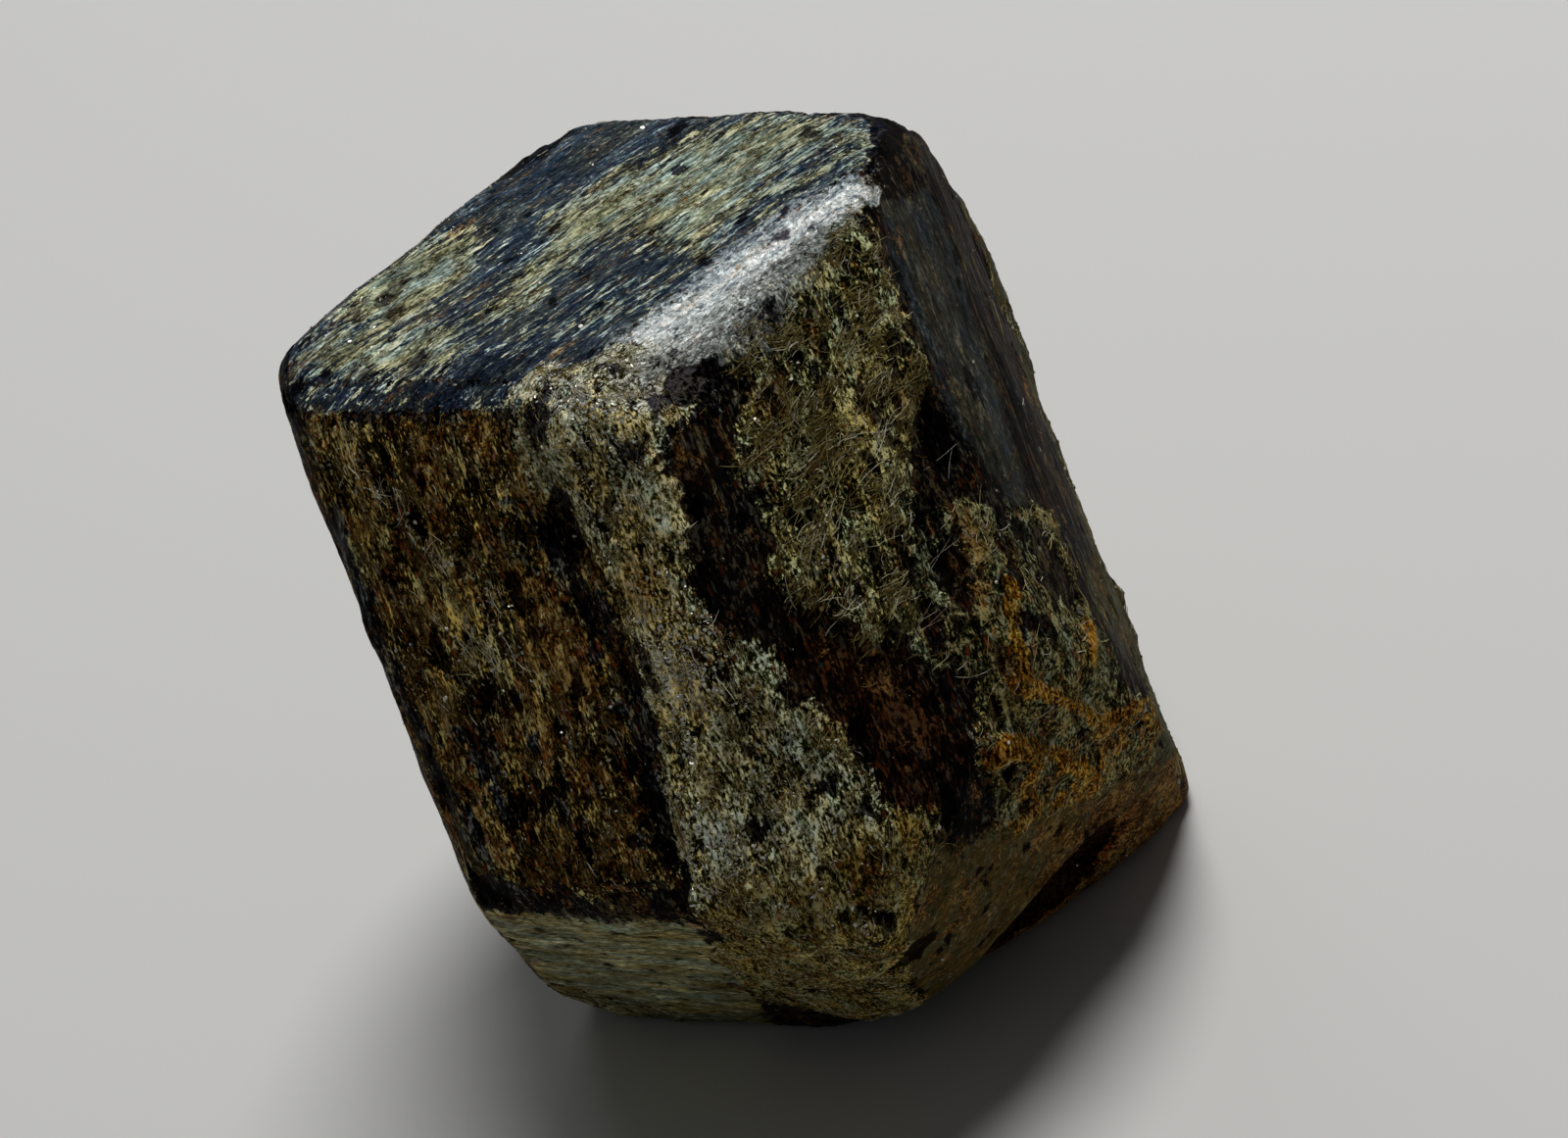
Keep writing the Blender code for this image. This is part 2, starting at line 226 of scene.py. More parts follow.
def wobble(points, length, seed, octaves=2.0):
    # smooth random height, about -1 to 1, with lumps of the given length in mm
    shift = Vector((seed, 1.7 * seed, 2.3 * seed))
    return np.array([noise.fractal(Vector(p) / length + shift, 0.9, 2.1, octaves) for p in points])


def stretched(points, axis, times):
    along = points @ axis
    return points - np.outer(along * (1.0 - 1.0 / times), axis)


def zonesAt(points):
    # how far inside each zone every point lies, in mm
    pushed = {}
    for name, planes in facePlanes.items():
        pushed[name] = np.max([points @ (np.array(n) / np.linalg.norm(n)) - d for n, d in planes], axis=0)
    names = list(pushed)
    values = np.stack([pushed[n] for n in names])
    order = np.sort(values, axis=0)
    zones = {"sunk": -order[-1]}
    for name, value in zip(names, values):
        best = order[-1]
        zones[name] = np.where(value >= best, value - order[-2], value - best)
    flat = onGirth(points)
    onTop = points[:, :2]
    for name, outline in girthOutlines.items():
        zones[name] = insideOutline(flat, girthCorners(outline))
    for name, outline in topOutlines.items():
        zones[name] = insideOutline(onTop, outline)
    height = points[:, 2]
    balls = [radius - np.linalg.norm(points - np.array(centre), axis=1)
             for centre, radius in borders["knobBalls"]]
    zones["knob"] = mostOf(*balls, np.where(height > borders["knobLow"], zones["knobTop"], outside))
    zones["strip"] = mostOf(zones["strip"],
                            np.where(height > borders["stripLow"], zones["stripUpper"], outside))
    low, coat, rust = np.interp(height, *borders["low"]), borders["lowCoat"], borders["rustLow"]
    zones["lowCoat"] = leastOf(points[:, 0] + coat["left"], low - points[:, 0], coat["top"] - flat[:, 1],
                               points @ crystal["front"] - coat["back"])
    rustFrom = math.radians(rust["from"]) * crystal["girthRadius"]
    lowRise = np.where(flat[:, 0] > rustFrom, rust["top"] - flat[:, 1], -outside)
    zones["rustLow"] = leastOf(zones["rightUnder"] + 2.0, -lowRise, flat[:, 1] + rust["bottom"],
                               flat[:, 0] - rust["left"])
    zones["rightUnder"] = leastOf(zones["rightUnder"] + 1.5, points[:, 0] - low, lowRise)
    zones["leftUnder"] = leastOf(zones["leftUnder"], -coat["left"] - points[:, 0])
    zones["top"] = mostOf(zones["top"], zones["topLeftEdge"])
    turn = np.degrees(flat[:, 0] / crystal["girthRadius"])
    for name in ("side", "paleSide"):
        start = np.interp(flat[:, 1], *borders[name])
        zones[name] = leastOf(turn - start, borders["sideEnd"] - turn) * borders["mmPerDegree"]
    zones["windows"] = mostOf(*(zones[name] for name in zones if name.startswith("window")))
    # the recess under the lower right edge, coloured as rust in painted shade
    fromRecess = stretched(points - np.array(borders["recessCentre"]), crystal["topGrain"],
                           borders["recessStretch"])
    zones["recessShade"] = borders["recessRadius"] - np.linalg.norm(fromRecess, axis=1)
    return zones


# The surface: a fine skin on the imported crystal, then relief that is too fine for the solid.
skin = {
    "grid": 0.255,           # mm; about 188,000 triangles, and a piece has to stay under 200,000
    "softening": 7,
    "softness": 0.5,
    "seeds": {"ragged": 11.0, "edge": 12.0, "felt": 13.0, "lumps": 14.0, "axis": 15.0, "grain": 16.0,
              "back": 17.0, "hollow": 18.0},
    "hollowDepth": 0.16,
    "coatEdge": 0.12,
    "felt": 0.055,
    "axisGrooves": 0.05,
    "smoothGrooves": 0.012,
    "topStreaks": 0.045,
    "knobLumps": 0.14,
    "rustRidges": 0.26,
    "rustRidgeWidth": 0.5,
    "flatRest": 0.6,         # relief fades out below this height above the floor
    "restDepth": 0.04,       # points lower than this are put flat on the floor
}


def addObject(name, data):
    made = bpy.data.objects.new(name, data)
    bpy.context.scene.collection.objects.link(made)
    return made


def addMesh(name, bm):
    mesh = bpy.data.meshes.new(name)
    bm.to_mesh(mesh)
    bm.free()
    return addObject(name, mesh)


def makeSkin():
    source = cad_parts[crystal["node"]].data
    bm = bmesh.new()
    bm.from_mesh(source)
    bmesh.ops.remove_doubles(bm, verts=bm.verts, dist=1e-6)
    piece = addMesh("garnet_skin", bm)
    fine = piece.modifiers.new("fine_grid", "REMESH")
    fine.mode = "VOXEL"
    fine.voxel_size = skin["grid"] * mm
    soften = piece.modifiers.new("soften", "SMOOTH")
    soften.factor = skin["softness"]
    soften.iterations = skin["softening"]
    bpy.context.view_layer.update()
    finished = bpy.data.meshes.new_from_object(piece.evaluated_get(bpy.context.evaluated_depsgraph_get()))
    piece.modifiers.clear()
    piece.data = finished
    finished.name = "garnet_skin"
    finished.materials.clear()
    return piece


def pointsOf(mesh):
    flat = np.zeros(len(mesh.vertices) * 3)
    mesh.vertices.foreach_get("co", flat)
    return flat.reshape(-1, 3) / mm - crystal["centre"]


def normalsOf(mesh):
    flat = np.zeros(len(mesh.vertices) * 3, np.float32)
    mesh.vertex_normals.foreach_get("vector", flat)
    return flat.reshape(-1, 3).astype(float)


def putPoints(mesh, points):
    mesh.vertices.foreach_set("co", ((points + crystal["centre"]) * mm).astype(np.float32).ravel())
    mesh.update()


def carveSkin(piece):
    mesh = piece.data
    points = pointsOf(mesh)
    normals = normalsOf(mesh)
    seeds = skin["seeds"]
    zones = zonesAt(points)
    ragged = wobble(points, 2.2, seeds["ragged"], 3.0) + 0.45 * wobble(points, 0.6, seeds["edge"])
    coat = mostOf(*(zones[n] for n in ("rightCoat", "lowRightCoat", "ridgeCoat", "lowCoat", "lowerRight")))
    coat = leastOf(coat, -zones["windows"]) + ragged
    felt = wobble(points, 0.42, seeds["felt"], 3.0)
    lumps = wobble(points, 1.1, seeds["lumps"], 3.0)
    alongAxis = wobble(stretched(points, crystal["longAxis"], 7.0), 0.45, seeds["axis"])
    alongGrain = wobble(stretched(points, crystal["topGrain"], 7.0), 0.5, seeds["grain"])
    hollow = wobble(stretched(points, crystal["longAxis"], 1.8), 0.95, seeds["hollow"], 3.0)
    back = wobble(points, 5.0, seeds["back"])
    isTop = smoothStep(zones["top"], -0.2, 0.3)
    isStrip = smoothStep(zones["strip"], -0.2, 0.3)
    isSlate = smoothStep(zones["slate"], -0.2, 0.3)
    isUnder = smoothStep(mostOf(zones["leftUnder"], zones["rightUnder"]), -0.2, 0.4)
    isCoat = smoothStep(coat, 0.0, 0.25) * (1 - isTop) * (1 - isStrip)
    height = skin["coatEdge"] * isCoat
    smooth = np.clip(isStrip + isSlate + 0.7 * isUnder, 0.0, 1.0)
    rough = (1 - isTop) * (1 - smooth)
    height += skin["felt"] * felt * rough * (0.5 + 0.5 * isCoat)
    height += skin["axisGrooves"] * alongAxis * rough * (1.0 - 0.6 * isCoat)
    height += skin["topStreaks"] * np.clip(2.5 * alongGrain, -1, 1) * isTop
    height += skin["smoothGrooves"] * alongAxis * smooth
    height += skin["knobLumps"] * lumps * smoothStep(zones["knob"], 0.0, 0.6) * (1 - isStrip)
    fromRust = np.min([pathDistance(onGirth(points), line) for line in rustLines], axis=0)
    rustSwell = np.exp(-(fromRust / skin["rustRidgeWidth"]) ** 2) * (points @ crystal["front"] > 0)
    height += skin["rustRidges"] * rustSwell * (1.0 + lumps)
    height -= skin["hollowDepth"] * smoothStep(hollow, 0.3, 0.6) * rough
    height *= smoothStep(points[:, 2] + crystal["centre"][2], 0.2, skin["flatRest"])
    moved = points + normals * height[:, None]
    low = moved[:, 2] + crystal["centre"][2]
    moved[:, 2] = np.where(low < skin["restDepth"], -crystal["centre"][2], moved[:, 2])
    putPoints(mesh, moved)
    return points, zones, coat, ragged, hollow, back, rustSwell


def addValues(mesh, name, values):
    layer = mesh.attributes.new(name, "FLOAT", "POINT")
    layer.data.foreach_set("value", np.asarray(values, np.float32))


def spotGlow(points, spots, reach):
    glow = np.zeros(len(points))
    for spot in spots:
        away = np.linalg.norm(points - np.array(spot), axis=1) / reach
        glow = np.maximum(glow, np.exp(-away * away))
    return glow


def pathDistance(flat, path):
    return np.min([lineDistance(flat, start, end) for start, end in zip(path, path[1:])], axis=0)


# Single marks: places in mm from the centre, and lines on the long faces.
# pale flake clusters; the last three, on the top's back left rim, are painted glints
whiteSpotsAndGlints = [(-2.3, -15.1, 6.4), (-0.8, -20.9, 1.7), (-3.9, -18.4, 0.2), (-9.5, -9.7, 6.9),
              (-1.6, -8.8, 16.0), (-8.6, 7.4, 16.0), (-5.6, 9.6, 16.1), (-10.9, 4.4, 16.1)]
orangeSpots = [(5.3, -9.2, 12.1), (9.5, -7.9, 9.7)]
# pits on the top, darkened in the material as painted shade
topPits = [(-8.9, 4.2, 16.15), (-8.6, 2.8, 16.15), (-8.0, -1.6, 16.15)]
whiteFibres = girthCorners([(-48, 10.2), (-47, 8.7), (-43, 6.2), (-39, 4.1)])
rustLines = [girthCorners(line) for line in (
    [(40, -9), (44.5, -9.8), (52.5, -10.6), (61.5, -11.8), (72, -11.7)],
    [(32, -11.5), (37, -11.3), (42.5, -11.9), (48, -12.1), (56, -13), (64.5, -13.9)],
    [(43.5, -5.2), (42, -6.9), (41, -9)], [(42, -12.4), (40, -13.2), (45, -14.1), (37, -14.4)],
    [(60, -7.9), (56, -9.2)])]
# slots in the coat, painted black as shade
shadedSlots = [girthCorners(line) for line in (
    [(-24, 5.0), (-19, 3.4), (-16, 1.0), (-15, -2.5), (-17, -6.0)], [(-20, -2.0), (-19, -5.5), (-21, -10.0)],
    [(-56, 7.5), (-56, 1.0), (-55, -4.0)], [(-46, -3.0), (-45, -6.5)], [(-52, -6.0), (-51, -10.0)],
    [(-36, -4.5), (-35, -8.0)])]

# Bands on the top and below its front edge. Pairs of rows are read as a curve: where, then how much.
# Turns are degrees round the long axis from the front edge.
bands = {
    "toward": np.array((-0.577, -0.8165, 0.0)),     # square to the top's front left edge
    "navy": (6.7, 7.9),      # mm from the centre toward that edge
    "cream": 8.2,
    "leftCreamEnd": 7.0,
    "rim": {"width": 0.5, "leftOf": -8.5},
    "stripEdge": ((12, 24, 32, 42, 47), (8.1, 9.2, 10.2, 11.4, 12.0)),     # turn, mm along the axis
    # how far the painted sheen below the strip reaches
    "sheenReach": ((4, 14, 28, 47), (3.6, 3.4, 2.2, 1.2)),     # turn, mm down from the strip
    "sheenTurns": (2, 50),
    "across": (-0.463, 0.887),     # square to the strip
    # a painted highlight across the strip: tone added by mm across it, most along its middle
    "stripHighlight": ((-8.8, -7.8, -6.9, -6.1, -5.3, -4.7), (-0.12, 0.05, 0.26, 0.18, -0.12, -0.34)),
    "behind": 2.0,     # mm back from the centre, where the guessed coat of the back starts
}

skinPiece = makeSkin()
print("skin laid:", len(skinPiece.data.vertices), "points")
restPoints, zones, coatInside, ragged, hollow, backNoise, rustSwell = carveSkin(skinPiece)
flatPlaces = onGirth(restPoints)
behind = -(restPoints @ crystal["front"])
backCoat = 4.0 * (backNoise + 0.1) + 1.6 * wobble(restPoints, 1.4, 27.0, 4.0) + ragged
coatInside = np.where(behind > bands["behind"], backCoat, coatInside)     # the photo shows no back
creamField = mostOf(zones["leftCream"], zones["pitCream"], zones["midStreaks"] - 0.6,
                    zones["oliveField"] + 0.2)
for start, end in paleStreaks:
    creamField = np.maximum(creamField, 0.3 - lineDistance(restPoints[:, :2], start, end))
for start, end in darkStreaks:
    creamField = np.minimum(creamField, lineDistance(restPoints[:, :2], start, end) - 0.4)
creamField = np.minimum(creamField, -zones["darkFront"])

# the top's front left edge carries a navy band, then a thin cream one; its left rim is navy too
towardEdge = restPoints @ bands["toward"]
rim = leastOf(bands["rim"]["width"] - zones["top"], bands["rim"]["leftOf"] - restPoints[:, 0])
navyBand = mostOf(leastOf(towardEdge - bands["navy"][0], bands["navy"][1] - towardEdge), rim) + 0.4 * ragged
creamField = leastOf(creamField, -6.0 * navyBand)
creamField = mostOf(creamField, -0.3 - 2.0 * np.abs(towardEdge - bands["cream"]))
creamField = mostOf(creamField, leastOf(zones["leftCream"] + 0.3, bands["leftCreamEnd"] - towardEdge))

turns = np.degrees(flatPlaces[:, 0] / crystal["girthRadius"])
# a painted sheen: the coat just below the strip is turned silvery, fading away from the strip
belowStrip = np.interp(turns, *bands["stripEdge"]) - flatPlaces[:, 1]
paintedSheen = np.clip(1.0 - (belowStrip + 0.5 * ragged) / np.interp(turns, *bands["sheenReach"]), 0.0, 1.0)
sheenFrom, sheenTo = bands["sheenTurns"]
paintedSheen *= (behind < 0) * (turns > sheenFrom) * smoothStep(-zones["top"], 0.2, 0.6) * (turns < sheenTo)
paintedSheen *= smoothStep(-zones["darkRough"] - 0.4 * ragged, -0.1, 0.2)
fromWhite = pathDistance(flatPlaces, whiteFibres)
whitenessAndGlints = np.maximum(spotGlow(restPoints, whiteSpotsAndGlints, 1.7), 0.8 * np.exp(-(fromWhite / 0.4) ** 2))
orangeness = spotGlow(restPoints, orangeSpots, 1.1)
lowerRight = leastOf(mostOf(zones["lowerRight"], zones["lowRightCoat"], zones["greyGreen"]),
                     -zones["windows"])
sideways = bands["across"][0] * restPoints[:, 0] + bands["across"][1] * restPoints[:, 1]
stripHighlight = np.interp(sideways, *bands["stripHighlight"])
fromSlot = np.min([pathDistance(flatPlaces, line) for line in shadedSlots], axis=0)
slots = np.where(behind < 0, 0.5 - fromSlot, outside) + 0.5 * ragged
orangeness += (0.7 * smoothStep(zones["orangePatch"] + ragged, 0.0, 1.5)
               + 0.45 * smoothStep(zones["ochreRidge"] + ragged, 0.0, 1.5)
               + 0.8 * smoothStep(zones["rightUnder"], -0.3, 0.6) * smoothStep(turns, 42, 70))

# what the material reads: mm inside each zone, or an amount from 0 to 1
inside = {
    "top": zones["top"],
    "strip": zones["strip"],
    "cream": creamField,
    "navy": mostOf(zones["darkFront"], navyBand),
    "paintedSheen": paintedSheen,
    "coat": coatInside,
    "ridge": zones["ridgeCoat"] + ragged,
    "leftFace": mostOf(zones["leftFront"], zones["leftSide"], zones["leftEdge"]) + 0.5 * ragged,
    "lowCoat": zones["lowCoat"] + ragged,
    "mottled": zones["mottledLow"] + ragged,
    "slate": zones["slateStrip"] + 0.25 * ragged,
    "side": zones["side"],
    "paleSide": zones["paleSide"] + 3.0 * backNoise + ragged,
    "stripHighlight": stripHighlight,
    "ochre": zones["ochreRidge"] + ragged,
    "redBare": zones["redBare"] + ragged,
    "greyGreen": lowerRight + 0.6 * ragged,
    "rust": mostOf(zones["rust"], 3.0 * rustSwell - 1.5, zones["rustLow"] - 1.2) + 0.8 * ragged,
    # the dark finish: the rough dark patch has it as its own colour; in the hollow and the slots it is
    # painted shade
    "dark": mostOf(zones["shadedHollow"] - 0.3, zones["darkRough"], slots) + 0.4 * ragged,
    "striated": zones["striated"] + 0.5 * ragged,
    "leftUnder": zones["leftUnder"],
    "rightUnder": zones["rightUnder"],
    "recessShade": zones["recessShade"],
    "knob": zones["knob"],
    # hollows and places sunk below the faces, which the material darkens as painted shade
    "hollow": hollow + 1.5 * smoothStep(zones["sunk"], 0.2, 0.55),
    "topPits": spotGlow(restPoints, topPits, 0.75),
    "whitenessAndGlints": whitenessAndGlints,
    "orangeness": orangeness,
}
for name, values in inside.items():
    addValues(skinPiece.data, name, values)
print("skin carved")


# Small helpers for building a material out of nodes.
class Nodes:
    def __init__(self, name):
        self.material = bpy.data.materials.new(name)
        self.material.use_nodes = True
        self.tree = self.material.node_tree
        self.shader = self.tree.nodes["Principled BSDF"]
        self.count = 0

    def add(self, kind):
        made = self.tree.nodes.new(kind)
        self.count += 1
        made.location = (-200 * (self.count % 12) - 300, -220 * (self.count // 12))
        return made

    def plug(self, value, socket):
        if isinstance(value, bpy.types.NodeSocket):
            self.tree.links.new(value, socket)
        else:
            socket.default_value = value

    def value(self, name):
        made = self.add("ShaderNodeAttribute")
        made.attribute_name = name
        return made.outputs["Fac"]

    def maths(self, kind, first, second=0.0, third=0.0):
        made = self.add("ShaderNodeMath")
        made.operation = kind
        for value, socket in zip((first, second, third), made.inputs):
            self.plug(value, socket)
        return made.outputs[0]

    def times(self, first, second):
        return self.maths("MULTIPLY", first, second)

    def swing(self, source, amount, base):
        # the base, raised and lowered by how far the source is from 0.5
        return self.maths("MULTIPLY_ADD", self.maths("SUBTRACT", source, 0.5), amount, base)

    def step(self, value, low, high):
        made = self.add("ShaderNodeMapRange")
        made.clamp = True
        for name, number in (("Value", value), ("From Min", low), ("From Max", high)):
            self.plug(number, made.inputs[name])
        return made.outputs[0]

    def blend(self, kind, slots, share, first, second):
        # slots: where Blender's Mix node keeps the share, the two inputs and the output of this kind
        made = self.add("ShaderNodeMix")
        made.data_type = kind
        for value, slot in zip((share, first, second), slots):
            self.plug(value, made.inputs[slot])
        return made, made.outputs[slots[3]]

    def mix(self, share, first, second, kind="MIX"):
        made, result = self.blend("RGBA", (0, 6, 7, 2), share, first, second)
        made.blend_type = kind
        return result

    def blendValues(self, share, first, second):
        return self.blend("FLOAT", (0, 2, 3, 0), share, first, second)[1]

    def blendPlaces(self, share, first, second):
        return self.blend("VECTOR", (0, 4, 5, 1), share, first, second)[1]

    def ramp(self, value, stops):
        made = self.add("ShaderNodeValToRGB")
        elements = made.color_ramp.elements
        while len(elements) < len(stops):
            elements.new(0.5)
        for element, (place, colour) in zip(elements, stops):
            element.position = place
            element.color = (*colour, 1.0)
        self.plug(value, made.inputs[0])
        return made.outputs[0]

    def place(self, turn, size):
        # object coordinates turned back by turn and measured in units of size (metres)
        coordinates = self.add("ShaderNodeTexCoord")
        made = self.add("ShaderNodeMapping")
        made.vector_type = "TEXTURE"
        made.inputs["Rotation"].default_value = turn
        made.inputs["Scale"].default_value = size
        self.plug(coordinates.outputs["Object"], made.inputs["Vector"])
        return made.outputs[0]

    def cloudNode(self, place, scale, detail=2.0, roughness=0.55, twist=0.0):
        made = self.add("ShaderNodeTexNoise")
        made.inputs["Scale"].default_value = scale
        made.inputs["Detail"].default_value = detail
        made.inputs["Roughness"].default_value = roughness
        made.inputs["Distortion"].default_value = twist
        self.plug(place, made.inputs["Vector"])
        return made

    def cloud(self, place, scale, detail=2.0, roughness=0.55, twist=0.0):
        return self.cloudNode(place, scale, detail, roughness, twist).outputs["Fac"]

    def split(self, colour):
        made = self.add("ShaderNodeSeparateColor")
        self.plug(colour, made.inputs[0])
        return made.outputs

    def cells(self, place, scale, feature="F1"):
        made = self.add("ShaderNodeTexVoronoi")
        made.feature = feature
        made.inputs["Scale"].default_value = scale
        self.plug(place, made.inputs["Vector"])
        return made


# Colours of each finish from the darkest grains to the palest, how rough it is, how much painted shade its
# pits get, how much rust stain and pale dust it has, and how pearly it is.
stopPlaces = (0.0, 0.2, 0.5, 0.8, 1.0)


def finish(colours, rough, pitShade, rust, dust, pearl=0.0):
    return {"colours": colours, "rough": rough, "pearl": pearl, "pitShade": pitShade, "rust": rust, "dust": dust}


finishes = {
    "bare": finish([(0.0008, 0.0006, 0.0009), (0.0022, 0.0015, 0.0019), (0.006, 0.004, 0.0045),
        (0.014, 0.01, 0.0095), (0.08, 0.065, 0.05)], rough=0.35, pitShade=0.2, rust=0.15, dust=0.08),
    "rightCoat": finish([(0.0008, 0.0009, 0.0003), (0.0035, 0.0037, 0.0011), (0.04, 0.04, 0.0145),
        (0.24, 0.235, 0.1), (0.95, 0.94, 0.64)], rough=0.6, pitShade=0.75, rust=0.3, dust=0.3),
    "leftFace": finish([(0.0007, 0.0004, 0.0001), (0.0036, 0.002, 0.0003), (0.0175, 0.0118, 0.0014),
        (0.115, 0.08, 0.013), (0.9, 0.76, 0.38)], rough=0.55, pitShade=0.5, rust=0.8, dust=0.2),
    "mottled": finish([(0.002, 0.001, 0.0005), (0.012, 0.008, 0.003), (0.05, 0.034, 0.011),
        (0.17, 0.125, 0.045), (0.45, 0.38, 0.2)], rough=0.55, pitShade=0.4, rust=0.6, dust=0.3),
    "redBare": finish([(0.0008, 0.0004, 0.0004), (0.0025, 0.001, 0.0007), (0.008, 0.0032, 0.002),
        (0.022, 0.0085, 0.0045), (0.09, 0.045, 0.025)], rough=0.4, pitShade=0.3, rust=0.2, dust=0.05),
    "ridge": finish([(0.002, 0.0018, 0.0006), (0.0145, 0.013, 0.0038), (0.1, 0.095, 0.034),
        (0.54, 0.53, 0.32), (1, 1, 0.92)], rough=0.55, pitShade=0.35, rust=0.3, dust=0.5),
    "lowCoat": finish([(0.006, 0.004, 0.001), (0.03, 0.023, 0.006), (0.1, 0.08, 0.026), (0.26, 0.215, 0.08),
        (0.5, 0.46, 0.27)], rough=0.6, pitShade=0.3, rust=0.45, dust=0.25),
    "striated": finish([(0.0006, 0.0006, 0.0012), (0.0022, 0.0015, 0.0022), (0.005, 0.0035, 0.0045),
        (0.017, 0.0095, 0.0055), (0.14, 0.1, 0.06)], rough=0.4, pitShade=0.1, rust=0.12, dust=0.08),
    "dark": finish([(0.001, 0.001, 0.0015), (0.003, 0.002, 0.0035), (0.008, 0.0065, 0.01),
        (0.035, 0.033, 0.045), (0.22, 0.23, 0.27)], rough=0.35, pitShade=0.2, rust=0.15, dust=0.05),
    "side": finish([(0.001, 0.001, 0.0015), (0.003, 0.0025, 0.004), (0.0095, 0.008, 0.011),
        (0.03, 0.024, 0.025), (0.13, 0.105, 0.08)], rough=0.45, pitShade=0.1, rust=0.2, dust=0.1),
    "paleSide": finish([(0.01, 0.01, 0.007), (0.03, 0.031, 0.02), (0.066, 0.066, 0.044), (0.12, 0.12, 0.08),
        (0.22, 0.22, 0.16)], rough=0.5, pitShade=0.15, rust=0.4, dust=0.15),
    "greyGreen": finish([(0.002, 0.0022, 0.0013), (0.011, 0.0115, 0.006), (0.042, 0.042, 0.022),
        (0.14, 0.14, 0.078), (0.42, 0.42, 0.3)], rough=0.6, pitShade=0.35, rust=0.5, dust=0.25),
    "rust": finish([(0.012, 0.004, 0.0005), (0.06, 0.023, 0.002), (0.21, 0.088, 0.008), (0.5, 0.24, 0.028),
        (0.75, 0.48, 0.14)], rough=0.75, pitShade=0.3, rust=0.5, dust=0.15),
    "slate": finish([(0.006, 0.0065, 0.0085), (0.014, 0.016, 0.021), (0.032, 0.036, 0.046),
        (0.064, 0.07, 0.084), (0.16, 0.165, 0.18)], rough=0.42, pitShade=0.0, rust=0.1, dust=0.08, pearl=0.12),
    "leftUnder": finish([(0.03, 0.028, 0.016), (0.11, 0.105, 0.065), (0.26, 0.255, 0.175),
        (0.46, 0.46, 0.35), (0.75, 0.77, 0.65)], rough=0.6, pitShade=0.08, rust=0.3, dust=0.35),
    "rightUnder": finish([(0.03, 0.022, 0.01), (0.052, 0.04, 0.018), (0.083, 0.064, 0.031),
        (0.125, 0.098, 0.052), (0.2, 0.16, 0.09)], rough=0.6, pitShade=0.05, rust=0.45, dust=0.15),
    # the recess: rust stain, darkened as painted shade
    "recessShade": finish([(0.001, 0.001, 0.001), (0.01, 0.004, 0.001), (0.04, 0.016, 0.004),
        (0.14, 0.06, 0.015), (0.3, 0.16, 0.06)], rough=0.7, pitShade=0.5, rust=0.8, dust=0.1),
    "topSlate": finish([(0.0025, 0.005, 0.014), (0.009, 0.015, 0.034), (0.029, 0.044, 0.07),
        (0.08, 0.108, 0.14), (0.36, 0.42, 0.46)], rough=0.42, pitShade=0.1, rust=0.1, dust=0.15, pearl=0.1),
    "topNavy": finish([(0.001, 0.002, 0.006), (0.004, 0.007, 0.017), (0.013, 0.02, 0.036),
        (0.036, 0.05, 0.076), (0.2, 0.24, 0.28)], rough=0.4, pitShade=0.1, rust=0.05, dust=0.1, pearl=0.1),
    "topCream": finish([(0.034, 0.044, 0.04), (0.105, 0.13, 0.105), (0.31, 0.35, 0.27), (0.7, 0.75, 0.61),
        (1, 1, 0.94)], rough=0.5, pitShade=0.1, rust=0.18, dust=0.15),
    "strip": finish([(0.03, 0.04, 0.05), (0.12, 0.15, 0.18), (0.34, 0.39, 0.42), (0.7, 0.76, 0.77),
        (1, 1, 1)], rough=0.32, pitShade=0.0, rust=0.26, dust=0.05, pearl=0.75),
    "knob": finish([(0.004, 0.003, 0.001), (0.035, 0.029, 0.01), (0.27, 0.255, 0.13), (0.92, 0.93, 0.74),
        (1, 1, 0.95)], rough=0.5, pitShade=0.85, rust=0.25, dust=0.3),
}
# silvery colours of the painted sheen below the strip
sheenColours = [(0.02, 0.022, 0.02), (0.1, 0.108, 0.1), (0.33, 0.36, 0.34), (0.72, 0.78, 0.75),
                 (0.95, 1.0, 0.98)]
rustColours = [(0.012, 0.003, 0.0005), (0.035, 0.01, 0.0015), (0.085, 0.029, 0.0035), (0.24, 0.1, 0.015),
               (0.42, 0.24, 0.07)]


def stopsOf(colours):
    return list(zip(stopPlaces, colours))


def matrixTurn(columns):
    return Matrix(columns).transposed().to_euler()


def grainPlace(n, along, facing, stretch, size=1.0):
    # coordinates in units of size (mm), drawn out along one direction
    along, facing = Vector(along).normalized(), Vector(facing)
    side = facing.cross(along).normalized()
    return n.place(matrixTurn((along, side, along.cross(side))), (stretch * size * mm, size * mm, size * mm))


def turnedAlong(facing, degrees):
    # a direction on a face, turned from the long axis to the right
    axis, facing = Vector(crystal["longAxis"]), Vector(facing).normalized()
    side = axis.cross(facing).normalized()
    if side.x < 0:
        side = -side
    angle = math.radians(degrees)
    return axis * math.cos(angle) + side * math.sin(angle)


